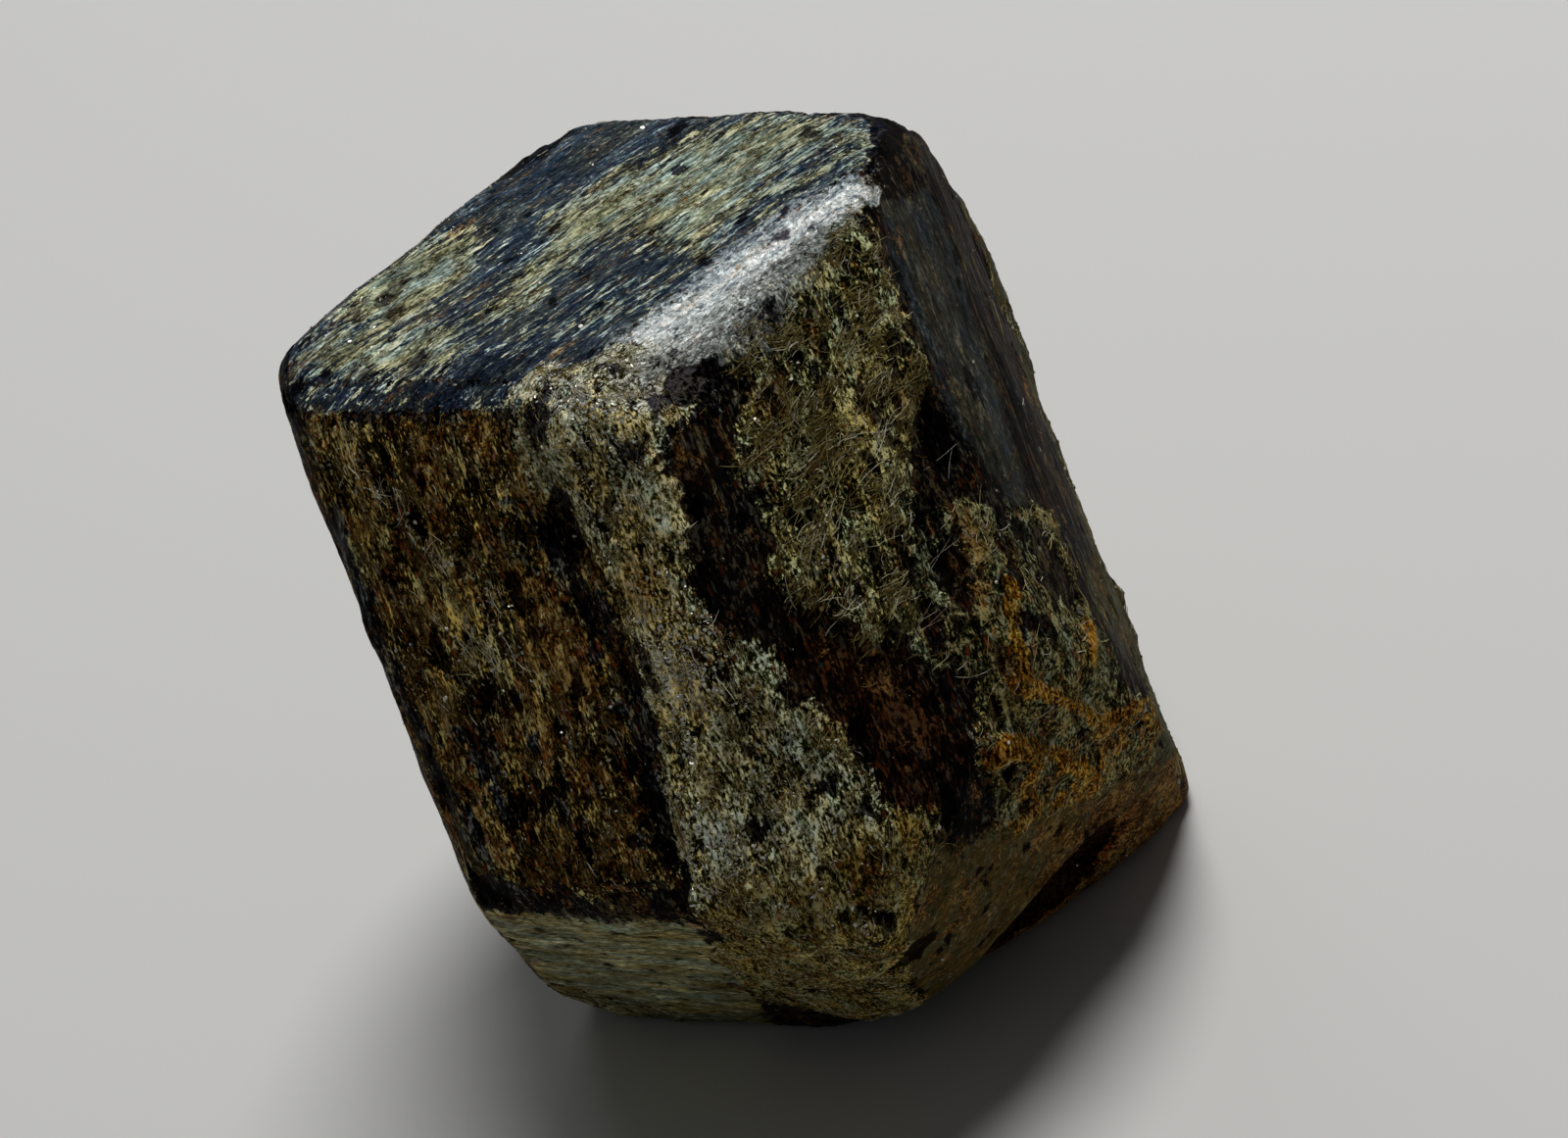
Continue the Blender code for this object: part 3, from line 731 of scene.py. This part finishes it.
def makeSkinMaterial():
    n = Nodes("garnet_and_mica")
    plain = n.place(Euler((0, 0, 0)), (mm, mm, mm))
    up = (0, 0, 1)
    coatFacing = facePlanes["rightFront"][0][0]
    lengthwise = grainPlace(n, crystal["longAxis"], crystal["front"], 2.6)
    topwise = grainPlace(n, crystal["topGrain"], up, 4.0, 0.7)
    topLines = grainPlace(n, crystal["topGrain"], up, 11.0)
    stripLines = grainPlace(n, (0.887, 0.463, 0.0), up, 30.0)
    underwise = grainPlace(n, (0.816, -0.577, 0.0), up, 3.5)
    stripwise = grainPlace(n, (0.87, 0.49, 0.0), up, 2.2, 0.7)
    lines = grainPlace(n, crystal["longAxis"], crystal["front"], 14.0)
    coatFibres = grainPlace(n, turnedAlong(coatFacing, 58), coatFacing, 7.0)
    crossFibres = grainPlace(n, turnedAlong(coatFacing, 12), coatFacing, 6.0)

    edgeNoise = n.times(n.maths("SUBTRACT", n.cloud(plain, 2.4, 3.0, 0.7), 0.5), 2.0)

    def zone(name, softness, wander):
        # 1 inside the zone: softness is how soft its border is in mm, wander how ragged
        return n.step(n.maths("MULTIPLY_ADD", edgeNoise, wander, n.value(name)), 0.0, softness)

    isTop = zone("top", 0.04, 0.4)
    isStrip = zone("strip", 0.5, 1.6)
    isUnder = n.maths("MAXIMUM", zone("leftUnder", 0.1, 0.6), zone("rightUnder", 0.1, 0.6))
    flow = n.blendPlaces(n.maths("GREATER_THAN", isUnder, 0.5), lengthwise, underwise)
    flow = n.blendPlaces(n.maths("GREATER_THAN", isTop, 0.5), flow, topwise)
    flow = n.blendPlaces(n.maths("GREATER_THAN", isStrip, 0.5), flow, stripwise)
    patchColour = n.cloudNode(flow, 0.85, 3.0, 0.65).outputs["Color"]
    patches = n.split(patchColour)
    broad = n.split(n.cloudNode(plain, 0.3, 2.0, 0.6).outputs["Color"])

    def swayed(place, amount):
        made = n.add("ShaderNodeVectorMath")
        made.operation = "MULTIPLY_ADD"
        n.plug(patchColour, made.inputs[0])
        made.inputs[1].default_value = (amount, amount, amount)
        n.plug(place, made.inputs[2])
        return made.outputs[0]

    def sumOf(parts, contrast):
        # parts vary about 0.5; the sum is spread out around 0.5 by the contrast
        result = None
        for source, weight in parts:
            part = n.times(n.maths("SUBTRACT", source, 0.5), weight)
            result = part if result is None else n.maths("ADD", result, part)
        return n.maths("MULTIPLY_ADD", result, contrast, 0.5)

    def fibres(place, scale, width, where):
        # thin winding lines where the noise crosses its middle
        line = n.maths("ABSOLUTE", n.maths("SUBTRACT", n.cloud(swayed(place, 1.2), scale, 1.0), 0.5))
        return n.times(n.step(line, width, 0.0), n.step(where, 0.42, 0.56))

    cells = n.cells(swayed(flow, 1.0), 6.0)
    cellParts = n.split(cells.outputs["Color"])
    cellGap = n.step(cells.outputs["Distance"], 0.3, 0.7)
    mosaic = n.cloud(swayed(flow, 0.5), 2.6, 5.0, 0.78)
    grit = n.cloud(flow, 9.0, 1.0)
    felt = n.cloud(plain, 3.4, 4.0, 0.8, 1.3)
    lineation = n.cloud(lines, 5.0, 3.0, 0.7)
    longLines = fibres(lines, 5.4, 0.02, patches[0])
    coatLines = n.maths("MAXIMUM", fibres(coatFibres, 5.4, 0.024, patches[0]),
                        fibres(crossFibres, 6.2, 0.022, patches[1]))
    threaded = sumOf(((mosaic, 0.9), (lineation, 0.6), (felt, 0.4), (grit, 0.8), (patches[2], 0.6),
                      (broad[0], 0.35)), 3.0)
    threaded = n.maths("MULTIPLY_ADD", longLines, 0.24, threaded)
    shared = ((grit, 0.8), (cellParts[0], 0.16), (patches[2], 0.6), (broad[0], 0.3))
    streaky = sumOf(((mosaic, 1.2), (felt, 0.35), *shared), 2.6)
    streaky = n.maths("MULTIPLY_ADD", longLines, 0.2, streaky)
    felted = sumOf(((felt, 1.2), (mosaic, 0.35), *shared), 3.2)
    felted = n.maths("MULTIPLY_ADD", coatLines, 0.34, felted)
    lined = sumOf(((lineation, 1.2), (grit, 0.4), (patches[2], 0.5)), 2.4)
    thinStreaks = n.times(n.maths("SUBTRACT", n.cloud(topLines, 5.5, 3.0, 0.7), 0.5), 2.0)
    stripGrainAndHighlight = n.swing(streaky, 0.4, 0.5)
    stripGrainAndHighlight = n.swing(n.cloud(stripLines, 3.0, 2.0, 0.7), 1.1, stripGrainAndHighlight)
    topGrains = n.swing(streaky, 0.55, 0.5)
    topGrains = n.maths("MULTIPLY_ADD", thinStreaks, 0.45, topGrains)
    topGrains = n.swing(n.cloud(plain, 7.0, 2.0, 0.7), 0.8, topGrains)
    stripGrainAndHighlight = n.swing(cellParts[0], 0.3, stripGrainAndHighlight)
    # the strip's grain, with the painted highlight across it added
    stripGrainAndHighlight = n.maths("ADD", stripGrainAndHighlight, n.value("stripHighlight"))
    satin = n.swing(streaky, 0.6, 0.5)

    # laid on in order, the later ones over the earlier
    creamDistance = n.maths("MULTIPLY_ADD", n.maths("SUBTRACT", mosaic, 0.54), 11.0, n.value("cream"))
    creamDistance = n.swing(felt, 3.0, creamDistance)
    creamDistance = n.maths("MULTIPLY_ADD", thinStreaks, 2.4, creamDistance)
    isCream = n.times(n.step(creamDistance, 0.0, 0.25), isTop)
    isNavy = n.times(zone("navy", 0.5, 1.0), isTop)
    layers = [
        ("rightCoat", felted, zone("coat", 0.1, 0.8)),
        ("leftFace", threaded, zone("leftFace", 0.3, 1.0)),
        ("mottled", felted, zone("mottled", 0.4, 1.5)),
        ("redBare", streaky, zone("redBare", 0.3, 1.5)),
        ("ridge", felted, zone("ridge", 0.15, 1.0)),
        ("lowCoat", felted, zone("lowCoat", 0.2, 1.0)),
        ("striated", lined, zone("striated", 0.15, 0.8)),
        ("dark", streaky, zone("dark", 0.15, 1.0)),
        ("side", lined, zone("side", 0.2, 0.4)),
        ("paleSide", satin, zone("paleSide", 0.6, 1.0)),
        ("greyGreen", felted, zone("greyGreen", 0.2, 1.0)),
        ("rust", felted, zone("rust", 0.5, 1.8)),
        ("slate", n.swing(lineation, 1.0, satin), zone("slate", 0.3, 0.6)),
        ("leftUnder", satin, zone("leftUnder", 0.2, 0.9)),
        ("rightUnder", satin, zone("rightUnder", 0.3, 1.2)),
        ("recessShade", felted, zone("recessShade", 0.3, 1.0)),
        ("topSlate", topGrains, isTop),
        ("topNavy", topGrains, isNavy),
        ("topCream", topGrains, isCream),
        ("strip", stripGrainAndHighlight, isStrip),
        ("knob", felted, zone("knob", 0.2, 1.5)),
    ]
    colour = n.ramp(streaky, stopsOf(finishes["bare"]["colours"]))
    amounts = {key: finishes["bare"][key] for key in ("rough", "pearl", "pitShade", "rust", "dust")}
    for name, source, share in layers:
        colour = n.mix(share, colour, n.ramp(source, stopsOf(finishes[name]["colours"])))
        for key in amounts:
            amounts[key] = n.blendValues(share, amounts[key], finishes[name][key])

    # hue drifts between ochre and grey-green; then a painted sheen below the strip, pale dust (with painted
    # glints on the top's back rim), rust stains, red and pale specks, and painted shade in pits and sunk
    # places
    tint = n.mix(n.step(patches[1], 0.4, 0.6), (0.87, 1.0, 0.9, 1.0), (1.16, 0.97, 0.5, 1.0))
    topTint = n.mix(n.step(patches[1], 0.4, 0.6), (0.84, 1.0, 1.1, 1.0), (1.14, 1.04, 0.74, 1.0))
    tint = n.mix(n.times(isStrip, 0.9), n.mix(isTop, tint, topTint), (1.0, 1.0, 1.0, 1.0))
    tint = n.mix(n.times(zone("ochre", 0.8, 1.5), 0.8), tint, (1.2, 0.9, 0.36, 1.0))
    colour = n.mix(1.0, colour, tint, "MULTIPLY")
    # the painted sheen below the strip, laid over the coat in silver colours
    sheenShare = n.times(n.step(n.swing(mosaic, 1.6,
                                                n.value("paintedSheen")), 0.35, 0.9), 0.85)
    colour = n.mix(sheenShare, colour, n.ramp(satin, stopsOf(sheenColours)))
    # pale dust, raised on the pale flake clusters and on the painted glints of the top's back rim
    dustPlace = n.maths("ADD", n.swing(mosaic, 0.8, broad[1]),
                        n.times(n.value("whitenessAndGlints"), 0.3))
    dusty = n.times(n.step(n.maths("MULTIPLY_ADD", amounts["dust"], 0.3, dustPlace), 0.66, 0.8), 0.5)
    paler = n.mix(1.0, n.mix(1.0, colour, (2.0, 2.05, 2.1, 1.0), "MULTIPLY"), (0.01, 0.01, 0.008, 1.0), "ADD")
    colour = n.mix(dusty, colour, paler)
    rustPlace = n.swing(felt, 0.7, patches[0])
    rustPlace = n.maths("MULTIPLY_ADD", n.value("orangeness"), 0.22, rustPlace)
    rusty = n.step(n.maths("MULTIPLY_ADD", amounts["rust"], 0.22, rustPlace), 0.66, 0.78)
    colour = n.mix(n.times(rusty, 0.75), colour, n.ramp(felted, stopsOf(rustColours)))
    inCell = n.maths("SUBTRACT", 1.0, cellGap)
    for part, level, amount, speck in ((cellParts[1], 0.9, amounts["rust"], (0.32, 0.075, 0.015, 1.0)),
                                       (cellParts[2], 0.93, amounts["dust"], (0.6, 0.6, 0.48, 1.0))):
        isSpeck = n.times(n.maths("GREATER_THAN", part, level), inCell)
        colour = n.mix(n.times(isSpeck, amount), colour, speck)
    # painted shade: pits, hollows and sunk places are darkened to about a tenth
    pitShadePlace = n.swing(mosaic, -1.2, n.value("hollow"))
    pitShading = n.step(n.maths("MULTIPLY_ADD", amounts["pitShade"], 0.5, pitShadePlace), 0.52, 0.68)
    pitShading = n.maths("MAXIMUM", pitShading, n.step(n.value("topPits"), 0.45, 0.75))
    colour = n.mix(pitShading, colour, n.mix(1.0, colour, (0.1, 0.09, 0.12, 1.0), "MULTIPLY"))

    rough = n.swing(grit, 0.4, amounts["rough"])
    n.plug(colour, n.shader.inputs["Base Color"])
    n.plug(rough, n.shader.inputs["Roughness"])
    n.plug(amounts["pearl"], n.shader.inputs["Metallic"])
    n.shader.inputs["Specular IOR Level"].default_value = 0.01

    bump = n.add("ShaderNodeBump")
    bump.inputs["Strength"].default_value = 0.8
    bump.inputs["Distance"].default_value = 0.08 * mm
    smoothness = n.maths("MAXIMUM", isTop, isStrip)
    relief = n.maths("ADD", mosaic, felt)
    height = n.times(relief, n.blendValues(smoothness, 3.0, 1.2))
    n.plug(height, bump.inputs["Height"])
    n.plug(bump.outputs[0], n.shader.inputs["Normal"])
    return n.material


skinPiece.data.materials.append(makeSkinMaterial())
for polygon in skinPiece.data.polygons:
    polygon.use_smooth = True
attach(skinPiece, "root")
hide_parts(crystal["node"])
print("skin finished")


# Mica strands, flakes and crumbs lie on the skin. Each kind is one joined mesh of small copies.
skinPoints = pointsOf(skinPiece.data)
skinNormals = normalsOf(skinPiece.data)
skinTree = BVHTree.FromPolygons([Vector(p) for p in skinPoints],
                                [tuple(f.vertices) for f in skinPiece.data.polygons])
heightAboveFloor = skinPoints[:, 2] + crystal["centre"][2]
offFloor = smoothStep(heightAboveFloor, 0.5, 1.5)


def share(name, low=0.0, high=0.3):
    return smoothStep(zones[name] + 0.6 * ragged, low, high)


onTop = share("top")
onStrip = share("strip")
onSlate = share("slate")
coated = smoothStep(coatInside, 0.0, 0.2) * (1 - onTop) * (1 - onStrip) * (1 - onSlate)
inFront = behind <= bands["behind"]
onRidge = np.maximum(share("ridgeCoat"), share("knob")) * (1 - onTop * (1 - share("knob")))
onRight = np.maximum(share("rightCoat"), 0.25 * share("lowerRight")) * (1.0 - share("windows"))
onLeft = share("leftFront") * (1 - onRidge) * (1 - onTop)


def strandShape(cuts):
    # a thin three-sided rod, 1 long, tapered at both ends
    bm = bmesh.new()
    bmesh.ops.create_cone(bm, cap_ends=True, segments=3, radius1=0.5, radius2=0.5, depth=1.0)
    long = [e for e in bm.edges if abs(e.verts[0].co.z - e.verts[1].co.z) > 0.5]
    bmesh.ops.subdivide_edges(bm, edges=long, cuts=cuts)
    ends = [v for v in bm.verts if abs(v.co.z) > 0.45]
    bmesh.ops.scale(bm, vec=(0.45, 0.45, 1.0), verts=ends)
    return bm


def plateShape():
    # a thin six-sided plate, 1 across
    bm = bmesh.new()
    bmesh.ops.create_cone(bm, cap_ends=True, segments=6, radius1=0.5, radius2=0.44, depth=0.16)
    return bm


def crumbShape():
    bm = bmesh.new()
    bmesh.ops.create_icosphere(bm, subdivisions=1, radius=0.5)
    return bm


def shapeLists(bm):
    bmesh.ops.recalc_face_normals(bm, faces=bm.faces)
    bm.verts.ensure_lookup_table()
    corners = np.array([v.co for v in bm.verts])
    faces = [[v.index for v in f.verts] for f in bm.faces]
    bm.free()
    return corners, faces


def across(first, second):
    made = np.cross(first, second)
    return made / np.maximum(np.linalg.norm(made, axis=1), 1e-9)[:, None]


def flatDirection(normals, axis, angles):
    # a direction in the surface, turned from the axis to the right by the angles in radians
    axis = np.broadcast_to(axis, normals.shape)
    side = across(axis, normals)
    upward = across(normals, side)
    return upward * np.cos(angles)[:, None] + side * np.sin(angles)[:, None]


def nearestOnSkin(points):
    places = np.empty_like(points)
    facing = np.empty_like(points)
    for i, point in enumerate(points):
        place, normal, _, _ = skinTree.find_nearest(Vector(point))
        places[i] = place
        facing[i] = normal
    return places, facing


def joinCopies(name, corners, faces, values, material):
    # corners is (copies, corners of one, 3); values are kept as one number per copy
    copies, each, _ = corners.shape
    faceList = []
    for size in sorted({len(f) for f in faces}):
        same = np.array([f for f in faces if len(f) == size])
        moved = (same[None] + (np.arange(copies) * each)[:, None, None]).reshape(-1, size)
        faceList += moved.tolist()
    mesh = bpy.data.meshes.new(name)
    places = (corners.reshape(-1, 3) + crystal["centre"]) * mm
    places[:, 2] = np.maximum(places[:, 2], 0.0)
    mesh.from_pydata(places.tolist(), [], faceList)
    for label, numbers in values.items():
        addValues(mesh, label, np.repeat(numbers, each))
    mesh.materials.append(material)
    piece = addObject(name, mesh)
    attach(piece, "root")
    triangles = copies * sum(len(f) - 2 for f in faces)
    print(name, copies, "copies,", triangles, "triangles")
    return piece


def pickSpots(weights, count):
    chance = weights * offFloor
    return rng.choice(len(chance), size=count, p=chance / chance.sum())


def layStrands(name, settings, weights, angles, tones, rusts, material):
    count = settings["count"]
    picks = pickSpots(weights, count)
    centres = skinPoints[picks] + rng.normal(0, 0.1, (count, 3))
    normals = skinNormals[picks]
    turn = angles[picks] + rng.normal(0, settings["spread"], count)
    along = flatDirection(normals, settings["axis"], turn)
    side = across(along, normals)
    low, high = settings["length"]
    lengths = low * (high / low) ** (rng.random(count) ** settings["fewLong"])
    widths = rng.uniform(*settings["width"], count)
    bends = rng.normal(0, settings["bend"], count) / np.maximum(lengths, 0.4)
    corners, faces = shapeLists(strandShape(settings["cuts"]))
    stations = np.unique(np.round(corners[:, 2], 4))
    rest = rng.uniform(*settings["lift"], count)
    tips = rng.uniform(-0.6, settings["tipLift"], (count, 2))
    made = np.zeros((count, len(corners), 3))
    for at in stations:
        reach = at * lengths
        path = centres + along * reach[:, None] + side * (bends * reach ** 2)[:, None]
        places, facing = nearestOnSkin(path)
        heading = along + side * (2 * bends * reach)[:, None]
        heading /= np.linalg.norm(heading, axis=1)[:, None]
        sideways = across(heading, facing)
        endward = abs(at) * 2
        tip = tips[:, 0] if at < 0 else tips[:, 1]
        lift = widths * rest + widths * tip * endward ** 4
        for index in np.where(np.abs(corners[:, 2] - at) < 1e-3)[0]:
            x, y, _ = corners[index]
            made[:, index] = (places + sideways * (x * widths)[:, None]
                              + facing * (y * widths + lift)[:, None])
    values = {"tone": np.clip(tones[picks] + rng.normal(0, settings["toneSpread"], count), 0, 1),
              "rust": np.clip(rusts[picks] + rng.normal(0, 0.25, count), 0, 1)}
    return joinCopies(name, made, faces, values, material)


def layPlates(name, shape, settings, weights, tones, rusts, material):
    count = settings["count"]
    picks = pickSpots(weights, count)
    centres = skinPoints[picks] + rng.normal(0, 0.08, (count, 3))
    centres, facing = nearestOnSkin(centres)
    normals = facing + rng.normal(0, settings["tilt"], (count, 3))
    normals /= np.linalg.norm(normals, axis=1)[:, None]
    along = flatDirection(normals, settings["axis"], rng.normal(0, settings["spread"], count))
    side = across(along, normals)
    low, high = settings["size"]
    sizes = low * (high / low) ** (rng.random(count) ** settings["fewLarge"])
    widths = sizes * rng.uniform(*settings["slim"], count)
    heights = sizes * settings["thick"]
    corners, faces = shapeLists(shape)
    x, y, z = corners.T
    lift = rng.uniform(*settings["lift"], count) * heights
    made = (centres[:, None] + along[:, None] * (x[None] * sizes[:, None])[..., None]
            + side[:, None] * (y[None] * widths[:, None])[..., None]
            + normals[:, None] * (z[None] * heights[:, None] + lift[:, None])[..., None])
    values = {"tone": np.clip(tones[picks] + rng.normal(0, settings["toneSpread"], count), 0, 1),
              "rust": np.clip(rusts[picks] + rng.normal(0, 0.2, count), 0, 1)}
    return joinCopies(name, made, faces, values, material)


def micaMaterial(name, stops, rustColour, rough, pearl, gloss):
    n = Nodes(name)
    base = n.ramp(n.value("tone"), stops)
    place = n.place(Euler((0, 0, 0)), (mm, mm, mm))
    specks = n.cloud(place, 9.0, 3.0, 0.6)
    shaded = n.mix(n.step(specks, 0.3, 0.7), n.mix(1.0, base, (0.45, 0.4, 0.33, 1.0), "MULTIPLY"), base)
    coloured = n.mix(n.times(n.value("rust"), 0.85), shaded, (*rustColour, 1.0))
    n.plug(coloured, n.shader.inputs["Base Color"])
    n.plug(n.blendValues(specks, rough - 0.1, rough + 0.1), n.shader.inputs["Roughness"])
    n.shader.inputs["Metallic"].default_value = pearl
    n.shader.inputs["Specular IOR Level"].default_value = gloss
    return n.material


strandStops = [(0.0, (0.01, 0.007, 0.001)), (0.25, (0.045, 0.034, 0.006)), (0.5, (0.13, 0.108, 0.025)),
               (0.72, (0.3, 0.26, 0.085)), (0.88, (0.6, 0.56, 0.28)), (1.0, (0.95, 0.94, 0.78))]
flakeStops = [(0.0, (0.05, 0.045, 0.03)), (0.4, (0.2, 0.2, 0.13)), (0.7, (0.45, 0.46, 0.38)),
              (1.0, (0.8, 0.83, 0.8))]
lintMaterial = micaMaterial("lint", [(0.0, (0.3, 0.27, 0.22)), (1.0, (0.8, 0.78, 0.72))], (0.4, 0.035, 0.03),
                            0.5, 0.0, 0.05)
strandMaterial = micaMaterial("mica_strands", strandStops, (0.2, 0.085, 0.018), 0.5, 0.0, 0.05)
flakeMaterial = micaMaterial("mica_flakes", flakeStops, (0.3, 0.15, 0.04), 0.3, 0.3, 0.5)
crumbMaterial = micaMaterial("mica_crumbs", strandStops, (0.24, 0.11, 0.025), 0.65, 0.0, 0.05)

swirl = wobble(skinPoints, 2.6, 21.0)
swirlFine = wobble(skinPoints, 0.9, 22.0)
# strand tones drift at random, and rise on pale flakes, on the painted glints of the top's back rim and in
# the painted sheen below the strip
toneDrift = 0.25 * wobble(skinPoints, 1.3, 23.0) + 0.25 * whitenessAndGlints + 0.25 * paintedSheen
tangles = 0.04 + smoothStep(wobble(skinPoints, 0.8, 25.0, 3.0), 0.0, 0.45)
clusters = 0.06 + smoothStep(wobble(skinPoints, 0.8, 26.0), 0.15, 0.5) + 2.5 * whitenessAndGlints
rustDrift = smoothStep(wobble(skinPoints, 1.8, 24.0), 0.2, 0.6)
openness = 1.0 - 0.9 * mostOf(smoothStep(inside["hollow"], 0.2, 0.45), smoothStep(inside["dark"], -0.1, 0.1))
longAxis = crystal["longAxis"]
backWeight = np.where(inFront, 0.0, coated)
shortStrand = {"cuts": 1, "fewLong": 1.6, "lift": (-0.4, 0.8), "tipLift": 0.8, "toneSpread": 0.32}
longThread = {"cuts": 4, "fewLong": 1.6, "lift": (0.0, 1.8), "tipLift": 1.6, "toneSpread": 0.2}

rightStrands = {**shortStrand, "count": 6500, "axis": longAxis, "spread": 0.7, "length": (0.08, 0.5),
                "width": (0.022, 0.042), "bend": 0.4}
layStrands("right_coat_strands", rightStrands, (np.where(inFront, onRight, 0.0) + 0.004) * tangles * openness,
           1.0 + 1.1 * swirl + 0.9 * swirlFine, 0.5 + toneDrift, 0.05 + 0.4 * rustDrift, strandMaterial)

rightThreads = {**longThread, "count": 2000, "axis": longAxis, "spread": 0.45, "length": (0.4, 2.2),
                "width": (0.021, 0.034), "bend": 0.4}
layStrands("right_coat_threads", rightThreads, (np.where(inFront, onRight, 0.0) + 0.006) * tangles * openness,
           1.0 + 0.9 * swirl + 0.5 * swirlFine, 0.66 + toneDrift, 0.02 + 0.2 * rustDrift, strandMaterial)

ridgeStrands = {**shortStrand, "count": 7500, "axis": longAxis, "spread": 0.6, "length": (0.08, 0.5),
                "width": (0.024, 0.046), "bend": 0.4}
ridgeWeight = onRidge - 0.6 * share("knob") * onRidge + 0.5 * share("lowCoat")
layStrands("ridge_strands", ridgeStrands, ridgeWeight * tangles * openness,
           0.5 * swirl + 1.3 * swirlFine, 0.6 + toneDrift, 0.05 + 0.4 * rustDrift, strandMaterial)

leftStrands = {**shortStrand, "count": 8000, "axis": longAxis, "spread": 0.2, "length": (0.08, 0.6),
               "width": (0.022, 0.042), "bend": 0.15}
layStrands("left_face_strands", leftStrands, onLeft * tangles * openness, 0.5 * swirlFine, 0.4 + toneDrift,
           0.3 + 0.5 * rustDrift, strandMaterial)

frontThreads = {**longThread, "count": 900, "axis": longAxis, "spread": 0.4, "length": (0.3, 1.5),
                "width": (0.02, 0.034), "bend": 0.3}
layStrands("front_threads", frontThreads, (onRidge + onLeft * (0.05 + 4 * whitenessAndGlints)) * tangles * openness,
           0.6 * swirl, 0.72 + toneDrift, 0.05 + 0.3 * rustDrift, strandMaterial)

topStrands = {**shortStrand, "count": 6500, "axis": crystal["topGrain"], "spread": 0.15,
              "length": (0.08, 0.6), "width": (0.02, 0.04), "bend": 0.12}
layStrands("top_strands", topStrands, onTop * (0.1 + smoothStep(creamField, -0.5, 0.5)) * tangles,
           0.3 * swirlFine, 0.66 + toneDrift, 0.02 + 0.12 * rustDrift, strandMaterial)

backStrands = {**shortStrand, "count": 6000, "axis": longAxis, "spread": 0.6, "length": (0.2, 1.5),
               "width": (0.018, 0.05), "bend": 0.4}
layStrands("back_coat_strands", backStrands, backWeight * tangles, 0.6 * swirl + 0.6 * swirlFine,
           0.52 + toneDrift, 0.1 + 0.5 * rustDrift, strandMaterial)

hairSpots = [(-5.8, -13.5, 5.2), (4.4, -13.2, 7.3), (10.8, -8.8, 7.0), (9.3, -11.6, 4.2), (7.6, -13.9, 3.2)]
hairs = {**longThread, "count": 12, "axis": longAxis, "spread": 0.4, "length": (1.4, 3.0),
         "width": (0.012, 0.018), "bend": 0.05, "lift": (0.2, 2.0), "fewLong": 1.0}
nearHairs = np.where(spotGlow(restPoints, hairSpots, 0.6) > 0.5, 1.0, 0.0)
layStrands("lint_hairs", hairs, nearHairs, np.full(len(skinPoints), 1.05), 0.8 + toneDrift,
           spotGlow(restPoints, hairSpots[:1], 2.0), lintMaterial)     # only the first hair is red

flakes = {"count": 6500, "axis": longAxis, "spread": 2.0, "size": (0.06, 0.26), "fewLarge": 1.6, "tilt": 0.35,
          "slim": (0.35, 1.0), "thick": 0.6, "lift": (-0.05, 0.08), "toneSpread": 0.22}
flakeWeight = 1.3 * onRidge + 0.6 * onRight + 0.35 * onLeft + 0.4 * onTop + 0.4 * backWeight + 0.05
layPlates("mica_flakes", plateShape(), flakes, flakeWeight * clusters * openness,
          0.6 + 0.15 * onTop + 0.25 * onRidge + toneDrift, 0.1 * rustDrift, flakeMaterial)

crumbs = {"count": 5000, "axis": longAxis, "spread": 0.6, "size": (0.06, 0.26), "fewLarge": 1.8, "tilt": 0.3,
          "slim": (0.5, 1.0), "thick": 0.7, "lift": (-0.2, 0.1), "toneSpread": 0.24}
crumbWeight = (1.8 * share("knob") + 0.7 * onRidge + 0.5 * onRight + 0.8 * share("rust")
               + 0.3 * onLeft + 0.3 * backWeight) * (1 - onStrip)
layPlates("mica_crumbs", crumbShape(), crumbs, crumbWeight * tangles * openness,
          0.45 + 0.2 * share("knob") + toneDrift, 0.1 + 0.5 * share("rust") + 0.3 * rustDrift, crumbMaterial)
print("strands, flakes and crumbs laid")


# A pale floor, soft overhead light from behind, and a weak one further back for the satin on top.
studio = {
    "floorSize": 6.0,
    "floorColour": (0.8, 0.8, 0.79),
    "world": (0.97, 0.98, 1.0),
    "worldStrength": 0.05,
    "key": {"toward": (0.25, 0.29, 0.92), "distance": 0.6, "size": 0.3, "power": 2.5,
            "colour": (1.0, 0.99, 0.97)},
    "rear": {"toward": (-0.07, 0.84, 0.54), "distance": 0.7, "size": 0.3, "power": 0.35,
             "colour": (0.95, 0.98, 1.0)},
}


def addLight(name):
    settings = studio[name]
    light = bpy.data.lights.new(name, "AREA")
    light.shape = "DISK"
    light.size = settings["size"]
    light.energy = settings["power"]
    light.color = settings["colour"]
    lamp = addObject(name, light)
    toward = Vector(settings["toward"]).normalized()
    lamp.location = Vector(crystal["centre"]) * mm + toward * settings["distance"]
    lamp.rotation_euler = toward.to_track_quat("Z", "Y").to_euler()


def makeStudio():
    bm = bmesh.new()
    bmesh.ops.create_grid(bm, x_segments=1, y_segments=1, size=0.5 * studio["floorSize"])
    floor = addMesh("floor", bm)
    n = Nodes("pale_floor")
    n.shader.inputs["Base Color"].default_value = (*studio["floorColour"], 1.0)
    n.shader.inputs["Roughness"].default_value = 0.9
    floor.data.materials.append(n.material)
    world = bpy.data.worlds.new("soft_room")
    world.use_nodes = True
    background = world.node_tree.nodes["Background"]
    background.inputs["Color"].default_value = (*studio["world"], 1.0)
    background.inputs["Strength"].default_value = studio["worldStrength"]
    bpy.context.scene.world = world
    addLight("key")
    addLight("rear")
    bpy.context.scene.view_settings.view_transform = "Standard"


makeStudio()
print("studio lit")

bpy.context.view_layer.update()
